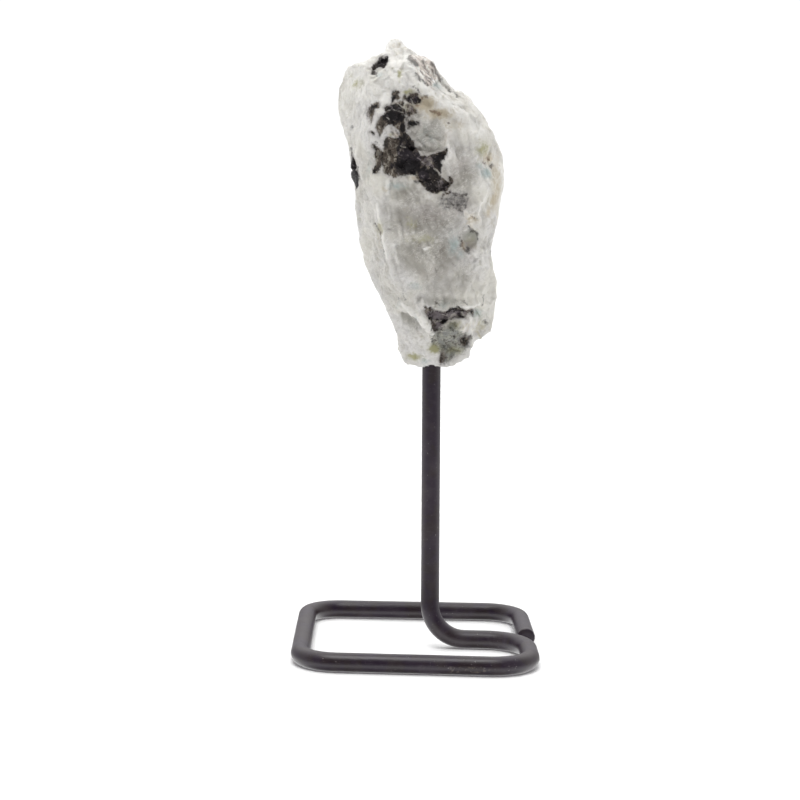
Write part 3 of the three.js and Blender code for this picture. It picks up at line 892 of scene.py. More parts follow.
# Soft tints and tones: across, down, half width, half height and strength. The last four are where the
# crystals are brown and translucent, blackest or ashen, and where cracks run. A few grey, teal and rosy
# spots are painted shade, and two teal spots a painted sheen, as marked.
frontSpots = {
    "greyAndShade": [
        (350, 112, 9, 32, 0.12), (364, 190, 8, 40, 0.2), (376, 255, 6, 30, 0.18),
        (470, 160, 15, 22, 0.38), (430, 265, 32, 16, 0.85), (416, 205, 12, 4, 0.5),
        (414, 226, 7, 5, 0.4), (420, 262, 13, 8, 0.4), (427, 135, 15, 16, 0.66),
        (435, 146, 8, 7, 0.4), (434, 130, 9, 9, 0.35), (447, 87, 14, 9, 0.25),
        (408, 195, 22, 13, 0.86), (425, 220, 38, 24, 1.0), (432, 252, 36, 24, 0.98),
        (444, 281, 30, 17, 0.52), (463, 278, 10, 20, 0.55), (464, 172, 17, 26, 0.72),
        # (415, 318) and (425, 329): painted shade in the hollow at the lower left, under the diagonal
        # ridge
        (460, 204, 15, 12, 0.6), (415, 318, 10, 7, 0.55), (425, 329, 6, 8, 0.45),
        # (447, 302): painted shadow under the ledge over the pit
        (447, 302, 24, 6, 0.75), (484, 326, 8, 18, 0.12), (470, 236, 14, 14, 0.3),
        # (411, 122) and (417, 114) here, (415, 134) and (420, 124) below: painted shade on the glassy
        # hollow's shadowed left wall
        (360, 150, 8, 60, 0.08), (411, 122, 5, 8, 1.2), (417, 114, 5, 4, 1.0),
        (427, 150, 10, 5, 1.1), (438, 149, 8, 4, 0.9), (451, 145, 4, 6, 0.7), (415, 134, 5, 6, 0.9),
        (420, 124, 6, 5, 0.7), (439, 196, 6, 4, 0.7), (466, 213, 6, 4, 0.6), (446, 168, 3, 8, 0.6),
    ],
    "tan": [
        (496, 182, 6, 34, 0.55), (380, 238, 3, 14, 0.4), (424, 104, 13, 7, 1.1),
        (439, 114, 15, 5, 1.1), (454, 124, 16, 7, 0.38), (430, 99, 8, 4, 0.4),
        (438, 113, 7, 1.6, 0.9), (488, 158, 7, 6, 0.8), (494, 200, 3, 12, 0.8),
        (490, 211, 4, 6, 0.7), (384, 189, 4, 3, 0.55), (397, 136, 4, 3, 0.6), (396, 45, 6, 3, 0.5),
        (400, 52, 7, 7, 0.25), (470, 220, 7, 6, 0.55), (446, 140, 4, 9, 0.3), (416, 178, 6, 3, 0.7),
        (400, 355, 12, 5, 0.25), (463, 246, 4, 5, 0.7), (480, 330, 9, 10, 0.3),
        (466, 330, 5, 10, 0.4),
    ],
    "olive": [
        (408, 92, 6, 3, 0.9), (411, 108, 6, 5, 0.9), (421, 99, 5, 5, 0.5), (401, 75, 2.6, 5, 0.8),
        (356, 84, 8, 6, 0.6), (349, 76, 5, 4, 0.4), (483, 150, 7, 8, 0.75), (381, 228, 4, 9, 0.6),
        (412, 225, 6, 6, 0.5), (425, 237, 12, 5, 0.5), (434, 348, 6, 4, 1.3),
        (413, 357, 10, 4, 0.9), (454, 350, 10, 4, 0.8), (481, 325, 9, 12, 0.35),
        (472, 240, 6, 8, 0.4), (456, 325, 9, 5, 0.6), (437, 191, 6, 2, 0.6),
        (391, 136, 4, 2.5, 0.4),
    ],
    "teal": [
        # (487, 173) and (454, 244): the stone's blue flash, a painted sheen
        (447, 302, 18, 4, 0.25), (428, 136, 12, 13, 0.28), (487, 173, 7, 5, 1),
        (481, 166, 5, 4, 0.5), (454, 244, 6, 12, 0.7), (460, 254, 6, 6, 0.5), (380, 76, 6, 4, 0.4),
        (368, 168, 4, 15, 0.35), (396, 186, 10, 4, 0.6), (417, 286, 8, 5, 0.4),
        # (443, 305) here and (447, 302) above: a bluish tint of the painted shadow under the ledge over
        # the pit; (414, 318): a tint of the painted shade in the hollow at the lower left
        (443, 305, 6, 4, 0.5), (478, 313, 6, 6, 0.6), (437, 84, 7, 6, 0.6), (414, 318, 9, 5, 0.3),
        (426, 362, 8, 4, 0.5), (399, 306, 3, 5, 0.5),
    ],
    "rosy": [
        (394, 292, 18, 26, 0.12), (410, 335, 9, 16, 0.2), (471, 244, 6, 5, 1.1),
        (392, 131, 6, 6, 0.4), (430, 213, 26, 12, 0.45), (460, 205, 12, 11, 0.6),
        (458, 166, 12, 15, 0.45), (449, 136, 5, 6, 0.5), (430, 272, 16, 8, 0.35),
        (440, 357, 6, 4, 0.5), (425, 160, 5, 5, 0.6), (452, 120, 18, 8, 0.2), (470, 258, 8, 8, 0.3),
        # a grey-purple tint of the painted shade in the hollow at the lower left
        (421, 330, 7, 8, 0.35),
    ],
    "brown": [
        (389, 157, 7, 20, 1.15), (391, 172, 7, 6, 1), (402, 142, 10, 5, 0.45),
        (381, 125, 5, 10, 1.2), (400, 124, 5, 5, 1.1), (371, 116, 4, 7, 1), (377, 105, 4, 4, 0.4),
        (377, 160, 4, 13, 1.1), (386, 166, 4, 8, 1), (426, 161, 6, 5, 1.3), (444, 152, 5, 4, 0.8),
        (396, 95, 4, 6, 0.4), (432, 325, 5, 7, 0.7), (443, 357, 5, 7, 1.2), (465, 342, 4, 4, 0.5),
        (428, 308, 5, 3, 0.6), (410, 109, 7, 6, 1.1), (452, 181, 4, 4, 0.8), (445, 194, 5, 4, 0.9),
        (466, 311, 7, 3, 0.6),
    ],
    "black": [
        (394, 108, 8, 4, 0.8), (408, 167, 11, 7, 1.3), (376, 104, 5, 3, 0.9),
        (395, 115.5, 10, 3, 1.3), (379, 62, 9, 7, 0.8), (420, 173, 6, 7, 0.7),
        (438, 162, 5, 9, 0.7), (356, 172, 5, 18, 0.8), (411, 101, 6, 3, 0.9), (451, 312, 5, 4, 0.8),
        (406, 129, 4, 4, 0.5), (442, 319, 5, 2.5, 0.6), (414, 124, 6, 3, 0.7),
        (433, 312, 4, 2, 0.6),
    ],
    "ashen": [
        (436, 316, 9, 5, 1.25), (456, 316, 12, 5, 1.5), (440, 326, 6, 4, 1.3),
        (441, 186, 9, 6, 0.4), (396, 107, 9, 4, 0.2), (427, 161, 6, 5, 1.2), (462, 314, 6, 4, 0.9),
        (444, 357, 4, 5, 0.6), (447, 315, 4, 3, 0.5), (416, 97, 3, 3, 0.5), (411, 109, 5, 5, 0.75),
    ],
    "net": [
        (395, 107, 9, 4.5, 0.3), (396, 96, 4, 5, 0.5), (441, 183, 9, 6, 0.5),
        (445, 315, 22, 7, 0.5), (413, 99, 6, 5, 0.1), (387, 160, 5, 18, 0.6),
    ],
}

# Near-black crystals on the back, as outlines in millimetres seen from the front.
backCrystals = [
    # a broken group with splinters round it
    [(3, 134.6), (5, 134.9), (6.4, 135.9), (8.6, 133), (7.7, 131), (8, 129.4), (9.7, 126), (8.6, 124.2),
     (7, 123.6), (5.4, 124.2), (4.4, 124.8), (2.6, 122.4), (1.2, 123.4), (0.6, 125.2), (1.7, 127),
     (1.4, 128.6), (0.1, 131.4), (1.6, 133.6)],
    [(10.3, 131.8), (11.6, 130.2), (12, 126.8), (11, 126.2), (10.4, 129)],
    [(-2.6, 136.6), (-1.4, 137), (-0.4, 137.2), (0.3, 135.6), (-1.3, 134.6), (-2.2, 135.2)],
    [(-1.9, 122.8), (-0.4, 122.4), (0.3, 121.3), (-0.8, 119.6), (-2.7, 120.8)],
    [(4.2, 120.6), (5.2, 120.9), (5.6, 118.4), (4.6, 117)],
    # lower down
    [(-9.4, 101.6), (-7.8, 101.9), (-6.2, 103.4), (-4.4, 101), (-5, 99.4), (-6, 98.2), (-8.6, 97.6),
     (-10.3, 99.2)],
    [(-4.3, 97.5), (-2.8, 97.8), (-2.3, 95.6), (-3.8, 95)],
    # near the peak
    [(-13.4, 148.4), (-12, 149), (-11, 149.3), (-9.7, 147.6), (-10.4, 146.2), (-11.6, 145.4),
     (-13.1, 146.4)],
]

# One more lies on the left face, and shows at the edge of the front view. It keeps within an
# outline seen from the front and an oval seen from the left.
edgeCrystal = {
    "outline": [
        (-22, 127.4), (-19.3, 127), (-18.5, 125.3), (-17.2, 122.6), (-17.3, 120.4),
        (-18.4, 119.3), (-22, 119),
    ],
    "middle": (-8.4, 123.2),  # y and z
    "halfDepth": 4.6,
    "halfHeight": 4.2,
    "rise": 0.25,  # upwards for each millimetre backwards
    "stray": (0.16, 3.0),  # of the oval's edge: share, and the length that it takes
    "edge": 3.5,  # millimetres for each share of the oval
}


# The surface of a box as a grid of quads, with corners from -1 to 1.
def boxGrid(counts):
    sheets = []
    for axis in range(3):
        across = (axis + 1) % 3
        up = (axis + 2) % 3
        i, j = np.meshgrid(np.arange(counts[across]), np.arange(counts[up]), indexing="ij")
        for side in (0, counts[axis]):
            ring = [(0, 0), (1, 0), (1, 1), (0, 1)]
            if side == 0:
                ring.reverse()
            sheet = np.zeros((i.size, 4, 3), int)
            sheet[:, :, axis] = side
            for corner, (right, over) in enumerate(ring):
                sheet[:, corner, across] = i.ravel() + right
                sheet[:, corner, up] = j.ravel() + over
            sheets.append(sheet)
    quads = np.concatenate(sheets)
    keys = (quads[..., 0] * (counts[1] + 1) + quads[..., 1]) * (counts[2] + 1) + quads[..., 2]
    _, first, inverse = np.unique(keys.ravel(), return_index=True, return_inverse=True)
    lattice = quads.reshape(-1, 3)[first]
    return lattice / np.array(counts) * 2 - 1, inverse.reshape(-1, 4)


def outlineReach(angle):
    rayX = np.cos(angle)
    rayZ = np.sin(angle)
    corners = np.array(outline) - (stone["middle"][0], stone["middle"][2])
    reach = np.zeros(len(angle))
    for (x, z), (nextX, nextZ) in zip(corners, np.roll(corners, -1, axis=0)):
        edgeX = nextX - x
        edgeZ = nextZ - z
        cross = rayX * edgeZ - rayZ * edgeX
        cross = np.where(np.abs(cross) < 1e-9, 1e-9, cross)
        along = (x * edgeZ - z * edgeX) / cross
        share = (x * rayZ - z * rayX) / cross
        hit = (along > 0) & (share >= -1e-9) & (share <= 1 + 1e-9)
        reach = np.where(hit, np.maximum(reach, along), reach)
    return reach


def dentDepth(dents, x, z):
    total = np.zeros(len(x))
    for (atX, atZ), (halfX, halfZ), tilt, depth, rim in dents:
        turn = math.radians(tilt)
        across = (x - atX) * math.cos(turn) + (z - atZ) * math.sin(turn)
        along = (z - atZ) * math.cos(turn) - (x - atX) * math.sin(turn)
        share = np.hypot(across / halfX, along / halfZ)
        total += depth * (1 - smoothstep(1 - rim, 1, share))
    return total


def ridgeHeight(ridges, x, z):
    total = np.zeros(len(x))
    for line, width, height in ridges:
        total += height * np.exp(-(lineDistance(line, x, z) / width) ** 2)
    return total


# Slow waves over the whole body, as in the CAD.
def swell(points):
    x, y, z = points.T
    slow = 0.3 * np.sin(0.43 * x + 0.31 * z + 1.1) * np.cos(0.37 * y - 0.22 * z)
    return slow + 0.16 * np.sin(0.63 * z - 0.47 * x + 0.6 * y)


def stoneBody(directions):
    middle = np.array(stone["middle"])
    across = np.hypot(directions[:, 0], directions[:, 2])
    depth = np.where(directions[:, 1] < 0, stone["frontDepth"], stone["backDepth"])
    power = stone["boxiness"]
    side = (across / outlineReach(np.arctan2(directions[:, 2], directions[:, 0]))) ** power
    reach = (side + (np.abs(directions[:, 1]) / depth) ** power) ** (-1 / power)
    worn = stone["wornEdge"]
    for around, up, through in faces:
        way = wayOf(around, up)
        toward = directions @ way
        limit = way @ (np.array(through) - middle) / np.maximum(toward, 0.05)
        mix = np.clip(0.5 + (limit - reach) / (2 * worn), 0, 1)
        cut = limit + (reach - limit) * mix - worn * mix * (1 - mix)
        reach = np.where(toward > 0.05, cut, reach)
    points = directions * reach[:, None] + middle
    x, y, z = points.T
    front = smoothstep(2, 8, -y)
    back = smoothstep(3, 9, y)
    reach = reach + front * (ridgeHeight(frontRidges, x, z) - dentDepth(frontDents, x, z))
    reach = reach + back * (ridgeHeight(backRidges, x, z) - dentDepth(backDents, x, z))
    reach = reach + np.maximum(front, back) * swell(points)
    return directions * reach[:, None] + middle


def vertexNormals(points, quads):
    corner = points[quads]
    facing = np.cross(corner[:, 2] - corner[:, 0], corner[:, 3] - corner[:, 1])
    normals = np.zeros_like(points)
    for k in range(4):
        np.add.at(normals, quads[:, k], facing)
    return normals / np.linalg.norm(normals, axis=1, keepdims=True)


def patchDistance(patches, x, z):
    return np.min([outlineDistance(patch, x, z) for patch in patches], axis=0)


def strokeDistance(strokes, x, z):
    return np.min([lineDistance(laid(line), x, z) - width for line, width in strokes], axis=0)


def lineStrength(strokes, x, z):
    away = [lineDistance(laid(line), x, z) / width for line, width in strokes]
    return np.exp(-np.min(away, axis=0) ** 2)


def spotStrength(spots, x, z):
    total = np.zeros(len(x))
    for across, down, halfWidth, halfHeight, strength in spots:
        atX, atZ = onStone(across, down)
        sideways = (x - atX) / (halfWidth * camera["dot"])
        upwards = (z - atZ) / (halfHeight * camera["dot"])
        total = np.maximum(total, strength * np.exp(-sideways ** 2 - upwards ** 2))
    return total


# Fine relief: the height of each form, and the length that it takes.
relief = {
    "swell": (0.42, 7.0),
    "scoop": (0.7, 7.0),
    "smallScoop": (0.18, 2.3),
    "plate": (0.22, 4.5),
    "stair": (0.6, 0.8),  # its height is a share of the tread
    "sideStair": (0.22, 2.2),
    "wrinkle": (0.18, 3.2),
    "streak": (0.22, 1.8),
    "rib": (0.34, 1.7),
    "rough": (0.08, 2.2),
    "fine": (0.05, 0.7),
    "crumb": (0.9, 1.5),
    "crystalFacet": (0.75, 3.0),
    "flake": (0.45, 1.1),
    "crystalSink": 0.28,  # how far the crystals lie below the feldspar
    "paintedShadeLift": 0.8,  # the lift at which the feldspar is palest, and as deep a hollow greyest: painted light and shade
}

# crisper forms on top of the body's own
sharpRidges = [
    ([(-5.8, 150), (-3.4, 145.4), (0, 142.4), (3.6, 139.8), (9, 137.6)], 1.1, 1.0),
    ([(-6.2, 90.6), (-3.6, 89.2), (0.1, 86), (2.2, 83.2)], 1.0, 0.5),
    ([(0, 91.2), (4.4, 90), (8.6, 90.8), (13, 91)], 0.9, 0.35),
    ([(5.2, 133), (5.2, 124.4)], 0.9, 0.4),
    ([(12.4, 88.6), (12.2, 80)], 0.7, 0.7),
    ([(-9.4, 135), (-8, 134.6)], 1.1, 0.35),
    ([(-11.6, 120), (-11.4, 114), (-10.2, 107), (-9.2, 100.6), (-6.6, 93.6)], 0.8, 0.5),
    ([(14.2, 121), (13.4, 116.6), (12.6, 112.6)], 0.6, 0.5),
]

sharpDents = [
    ((4.2, 145), (4.4, 1.5), -42, 0.7, 0.8),
    ((-2.8, 86.4), (3.6, 1.6), -38, 0.9, 0.6),
    ((6, 88.4), (5.6, 1.4), 4, 0.8, 0.5),
    ((10.9, 107.6), (2, 2.4), 0, 0.5, 0.3),
    ((7, 116.2), (3.6, 2.4), 0, 0.5, 0.5),
]

# how far an outline strays to and fro, and over what length
stray = {"amount": 0.30, "length": 2.6}


def reliefNoise(name, points, layers, seed):
    height, size = relief[name]
    return height * layeredNoise(points, size, layers, seed)


# Scoops that meet in crests, lowest at their scattered centres.
def scoops(name, points, seed):
    height, size = relief[name]
    _, _, away = facets(points, size, seed)
    return height * (away ** 2 - 0.3)


# Little stairs where a face was torn along its cleavage: the height between two treads is
# taken up by a short riser.
def stairs(name, points, way, wander, seed):
    height, tread = relief[name]
    level = points @ way / tread + wander * layeredNoise(points, 9.0, 3, seed)
    whole = np.floor(level)
    return height * (whole + smoothstep(0.38, 0.62, level - whole) - level) * tread


# The feldspar's broken ground, which is calmer on the left face.
def brokenGround(points, bent, leftFace):
    lift = reliefNoise("swell", points, 3, 17)
    lift += scoops("scoop", bent, 71) * (1 - 0.6 * leftFace)
    lift += scoops("smallScoop", bent, 77) * (1 - 0.8 * leftFace)
    height, size = relief["plate"]
    tilted, _, _ = facets(bent * (1, 1, 0.6), size, 97)
    lift += height * tilted * (1 - 0.7 * leftFace)
    torn = smoothstep(-0.3, 0.4, layeredNoise(points, 12.0, 2, 13))
    lift += stairs("stair", bent, wayOf(-8, 6), 1.2, 11) * torn
    lift += stairs("sideStair", bent, wayOf(70, 20), 0.6, 23)
    lift -= np.abs(reliefNoise("wrinkle", bent * (1, 1, 0.7), 3, 37)) * (1 - 0.7 * leftFace)
    return lift


# Ribs that run down to the right.
def ribRelief(points):
    along = np.array((0.83, 0, -0.56))
    across = np.array((0.56, 0, 0.83))
    drawnOut = np.column_stack([points @ across, points[:, 1] * 0.3, points @ along * 0.14])
    return reliefNoise("rib", drawnOut, 3, 141)


# Thin flakes of mica on end.
def flakeRelief(points):
    through = points @ wayOf(90, 52)
    drawnOut = np.column_stack([through, through * 0, points[:, 1] * 0.5])
    return reliefNoise("flake", drawnOut, 2, 91)


# How far the fine relief lifts each point along its normal, and what the material needs of it.
def fineRelief(points, normals, x, z, marks):
    front = smoothstep(0, 5, -points[:, 1])
    inDark = smoothstep(0.25, -0.25, marks["dark"])
    inRock = smoothstep(0.6, -0.6, marks["rock"]) + 0.5 * smoothstep(1.2, -1.2, marks["crumb"])
    inMica = smoothstep(0.4, -0.4, marks["mica"])
    plain = (1 - inDark) * (1 - inRock) * (1 - inMica)
    leftFace = smoothstep(0.45, 0.9, normals @ wayOf(-62, 0))
    # beside the ridge under the peak
    drift = front * smoothstep(135.5, 141, z + 0.55 * x) * (1 - leftFace)
    bend = [layeredNoise(points, 4.0, 2, seed) for seed in (19, 24, 29)]
    bent = points + 1.4 * np.column_stack(bend)

    lift = brokenGround(points, bent, leftFace)
    lift += front * (ridgeHeight(sharpRidges, x, z) - dentDepth(sharpDents, x, z))
    # less of it towards the outline seen from the front
    lift *= plain * (0.3 + 0.7 * smoothstep(0.1, 0.5, np.abs(normals[:, 1])))
    lift += reliefNoise("streak", bent * (1, 1, 0.16), 3, 31) * leftFace * plain
    lift += ribRelief(bent) * drift * plain
    lift += reliefNoise("rough", points, 3, 41) * plain
    lift += reliefNoise("fine", points, 2, 51) * (1 - 0.7 * inDark)
    height, size = relief["crumb"]
    tilted, level, _ = facets(bent, size, 61)
    lift += inRock * height * (tilted + 0.5 * level)
    height, size = relief["crystalFacet"]
    tilted, level, _ = facets(points, size, 83)
    lift += inDark * (height * (tilted + 0.3 * level) - relief["crystalSink"])
    lift += inMica * flakeRelief(points)
    # painted light and shade: the relief's height, by which the feldspar is painted paler on crests and
    # greyer in hollows
    rise = np.clip(lift / relief["paintedShadeLift"], -1, 1) * plain
    return lift, {"facet": level + 0.5, "rise": rise, "leftFace": leftFace, "drift": drift}


# Distance to the crystal on the left face, below zero inside it.
def edgeCrystalDistance(points, x, z):
    middleY, middleZ = edgeCrystal["middle"]
    backwards = points[:, 1] - middleY
    upwards = z - middleZ - edgeCrystal["rise"] * backwards
    oval = np.hypot(backwards / edgeCrystal["halfDepth"], upwards / edgeCrystal["halfHeight"])
    share, length = edgeCrystal["stray"]
    oval += share * layeredNoise(points, length, 3, 151)
    inOutline = outlineDistance(edgeCrystal["outline"], x, z)
    return np.maximum(inOutline, (oval - 1) * edgeCrystal["edge"])


# How far each point is from each kind of mark, below zero inside it. The front's marks end at
# the sides.
def markDistances(points, x, z):
    y = points[:, 1]
    behind = np.clip(y - 3.5, 0, None) * 2
    marks = {}
    for name, outlines in frontPatches.items():
        marks[name] = patchDistance([laid(line) for line in outlines], x, z) + behind
    atBack = patchDistance(backCrystals, x, z) + np.clip(5 - y, 0, None) * 2
    marks["dark"] = np.min([marks["dark"], atBack, edgeCrystalDistance(points, x, z)], axis=0)
    marks["veins"] = strokeDistance(paleVeins, x, z) + behind
    marks["marks"] = strokeDistance(darkMarks, x, z) + behind
    return marks


# Strengths of the tints and tones. The back has no spots: its tones follow slow noise.
def toneStrengths(points, x, y, z, glue):
    front = smoothstep(0, 5, -y)
    back = smoothstep(-1, 4, y)
    pale = layeredNoise(points, 8.0, 2, 121)
    stained = layeredNoise(points, 6.0, 3, 131)
    tones = {name: spotStrength(spots, x, z) * front for name, spots in frontSpots.items()}
    tones["greyAndShade"] += back * (0.3 - 0.4 * pale)
    tones["tan"] += back * 0.6 * np.clip(1.5 * stained - 0.3, 0, 1)
    tones["olive"] += back * 0.6 * np.clip(-1.1 * stained - 0.3, 0, 1)
    tones["brown"] += back * (0.5 + 0.6 * stained)
    tones["black"] += back * (0.4 - 0.6 * pale)
    tones["net"] += back * 0.4
    milk = np.maximum(lineStrength(milkLines, x, z) * front, glue) + back * 0.5 * pale
    # painted light from above: the stone is whiter towards its top
    paintedTopLight = smoothstep(132, 146, z + 0.5 * np.abs(x + 6))
    tones["milk"] = milk + 0.55 * paintedTopLight * (1 - tones["greyAndShade"])
    return tones


# Across and backwards from the axis of the hole.
def fromHole(points):
    return points[:, :2] - (postAxis(stone["drillMiddle"]), stand["returnY"])


# The drilled hole: points near its edge go onto it, and those over the post go up to the
# hole's end. Gives the strength of the pale glue round it.
def drillHole(points):
    radius = stone["drill"]
    offset = fromHole(points)
    away = np.hypot(*offset.T)
    low = points[:, 2] < stone["foot"]
    nearRim = low & (np.abs(away - radius) < stone["rimSnap"])
    points[nearRim, :2] += offset[nearRim] * (radius / away[nearRim] - 1)[:, None]
    points[low & ~nearRim & (away < radius), 2] = stone["drillTop"]
    near, far = stone["glue"]
    return smoothstep(radius + far, radius + near, away) * low


def makeStone():
    lattice, quads = boxGrid(stone["grid"])
    directions = lattice * np.array(stone["halfBox"])
    directions /= np.linalg.norm(directions, axis=1, keepdims=True)
    body = stoneBody(directions)
    print("stone body", len(body), "points", flush=True)
    x, y, z = body.T
    x = x + stray["amount"] * layeredNoise(body, stray["length"], 3, 101)
    z = z + stray["amount"] * layeredNoise(body, stray["length"], 3, 111)
    fields = markDistances(body, x, z)
    normals = vertexNormals(body, quads)
    lift, surface = fineRelief(body, normals, x, z, fields)
    fields.update(surface)
    # no relief at the hole's edge
    calm = smoothstep(*stone["quiet"], np.hypot(*fromHole(body).T))
    lift *= np.where(body[:, 2] < stone["foot"], calm, 1.0)
    points = body + normals * lift[:, None]
    glue = drillHole(points)
    print("stone relief made", flush=True)
    fields.update(toneStrengths(points, x, y, z, glue))
    lowest, highest = [np.array(corner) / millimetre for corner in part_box("moonstone")]
    points = np.clip(points, lowest, highest)
    # marks at the stone's left edge keep to its front
    atLeft = smoothstep(-15.5, -18.0, points[:, 0])
    fields["marks"] += atLeft * np.clip(np.abs(y + 7) - 2.5, 0, None)
    piece = makeMesh("roughMoonstone", points, quads.tolist(), stoneMaterial(), fields)
    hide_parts("moonstone")
    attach(piece, "root")


stoneLook = {
    "warmWhite": (0.725, 0.705, 0.645),
    "coolWhite": (0.70, 0.686, 0.666),
    "milk": (0.87, 0.855, 0.815),
    "greyGlass": (0.31, 0.29, 0.255),
    "tan": (0.52, 0.45, 0.33),
    "olive": (0.36, 0.345, 0.175),
    "teal": (0.38, 0.46, 0.46),
    "rosy": (0.44, 0.385, 0.375),
    "rust": (0.16, 0.085, 0.045),
    "ink": (0.040, 0.032, 0.028),
    "slateSheen": (0.024, 0.019, 0.024),
    "crystalBlack": (0.006, 0.0042, 0.0055),
    "crystalDusk": (0.040, 0.034, 0.031),
    "crystalBrown": (0.120, 0.097, 0.077),
    "crystalPale": (0.38, 0.35, 0.30),
    "ashen": (0.24, 0.21, 0.22),
    "vein": (0.55, 0.52, 0.47),
    "rockGreen": (0.38, 0.385, 0.31),
    "rockGrey": (0.24, 0.25, 0.24),
    "rockDark": (0.075, 0.063, 0.06),
    "crumb": (0.24, 0.23, 0.225),
    "lens": (0.38, 0.385, 0.33),
    "mica": (0.72, 0.64, 0.58),
    "micaDark": (0.10, 0.075, 0.07),
    "subsurface": 0.25,
    "glowDepth": 1.0,  # how deep light gets under the surface
}


# Noises that several layers of the stone's look share, from the slowest to the finest.
class StoneNoise:
    def __init__(self, graph, place):
        self.place = place
        self.slow = graph.noise(place, 0.07, 4.0, 0.55, 0.3)
        self.cloud = graph.noise(place, 0.20, 4.0, 0.5, 1.0)
        self.murk = graph.noise(place, 0.42, 3.0, 0.5, 1.2)
        self.fleck = graph.noise(place, 1.1, 3.0, 0.5, 0.5)
        self.speck = graph.noise(place, 1.5, 5.0, 0.7, 0.6)
        self.grain = graph.noise(place, 3.2, 3.0, 0.6)
        self.bent = graph.moved(place, self.murk * 4.0)


# Each layer gives the colour with itself laid over it, and its share of the fine relief, in
# millimetres, where it has one.


# Feldspar: white or glassy grey by turns, feathered along bent lines, with streaks down the left face
# and ribs beside the ridge under the peak. It is painted paler on crests and greyer in hollows, as
# painted light and shade that follow the relief.
def feldsparLayer(graph, look, noise):
    slow, cloud, murk, fleck = noise.slow, noise.cloud, noise.murk, noise.fleck
    # painted light and shade: paler where the relief rises, greyer in its hollows
    rise = graph.attribute("rise")
    leftFace = graph.attribute("leftFace")
    drift = graph.attribute("drift")
    flow = graph.stretched(graph.moved(noise.place, cloud * 16.0), 4.0, 62)
    feather = graph.noise(flow, 1.0, 4.0, 0.58, 0.2)
    plates = graph.cells(graph.stretched(noise.bent, 2.4, 24), 0.30, output=1)
    ribs = graph.noise(graph.stretched(noise.bent, 5.0, -56), 1.0, 4.0, 0.6)
    streak = graph.noise(graph.stretched(noise.bent, 6.0), 0.75, 4.0, 0.6)
    lines = feather.line(0.55, 22.0)
    seams = feather.line(0.40, 26.0)

    colour = graph.mix(slow.step(0.38, 0.62), look["warmWhite"], look["coolWhite"])
    glassy = (graph.attribute("glassy") + (murk - 0.5) * 3.0).step(0.8, -1.2) * 0.15
    greyAndShade = graph.attribute("greyAndShade") + glassy - rise * 0.25
    greyAndShade = greyAndShade + (cloud - 0.5) * 0.42 + (feather - 0.5) * 0.36
    greyAndShade = greyAndShade + (fleck - 0.5) * 0.2 + (plates - 0.5) * 0.2
    colour = graph.mix(greyAndShade.step(-0.05, 1.1) * 0.95, colour, look["greyGlass"])
    colour = graph.mix(lines * cloud.step(0.62, 0.45) * 0.55, colour, look["milk"])
    colour = graph.mix(seams * slow.step(0.38, 0.55) * 0.32, colour, look["greyGlass"])
    colour = graph.mix(ribs.step(0.52, 0.70) * drift * 0.45, colour, look["milk"])
    colour = graph.mix(ribs.step(0.46, 0.32) * drift * 0.20, colour, look["tan"])
    milk = graph.attribute("milk") + rise * 0.25 + (murk - 0.5) * 1.6 + (fleck - 0.5) * 0.8
    colour = graph.mix(milk.step(0.20, 1.05) * 0.9, colour, look["milk"])
    colour = graph.mix(streak.step(0.50, 0.72) * leftFace * 0.35, colour, look["milk"])
    colour = graph.mix(streak.step(0.46, 0.30) * leftFace * 0.28, colour, look["greyGlass"])

    height = (cloud - 0.5) * 0.35 + (murk - 0.5) * 0.2 + (fleck - 0.5) * 0.14
    height = height + (noise.grain - 0.5) * 0.035 + (streak - 0.5) * leftFace * 0.35
    height = height + lines * 0.03 - seams * 0.03 + (feather - 0.5) * 0.14
    return colour, height + (ribs - 0.5) * drift * 0.4 + (plates - 0.5) * 0.14


# Tints over the feldspar. Two teal spots are a painted sheen, the stone's blue flash, and a few teal
# and rosy spots tint painted shade.
def stainLayers(graph, look, noise, colour):
    for name, strength in (("rosy", 0.6), ("teal", 0.85), ("olive", 0.95), ("tan", 0.95)):
        stain = graph.attribute(name) + (noise.fleck - 0.5) * 0.8 + (noise.murk - 0.5) * 0.9
        colour = graph.mix(stain.step(0.05, 0.95) * strength, colour, look[name])
    return colour


# Flaky mica, its flakes lying down to the right.
def micaLayer(graph, look, noise, colour):
    fleck = noise.fleck
    flake = graph.noise(graph.stretched(graph.moved(noise.place, fleck), 5.0, -39), 1.1, 3.0, 0.6)
    mica = graph.attribute("mica") + (fleck - 0.5) * 2.4 + (flake - 0.5) * 1.6
    mica = mica.step(0.5, -0.5)
    leaf = flake.line(0.5, 18.0)
    flaky = graph.mix(flake.step(0.52, 0.60), look["mica"], look["milk"])
    flaky = graph.mix(flake.step(0.43, 0.37) * 0.8, flaky, look["micaDark"])
    flaky = graph.mix(leaf * fleck.step(0.45, 0.55) * 0.5, flaky, look["micaDark"])
    return graph.mix(mica * 0.9, colour, flaky), (flake - 0.5) * mica * 0.5


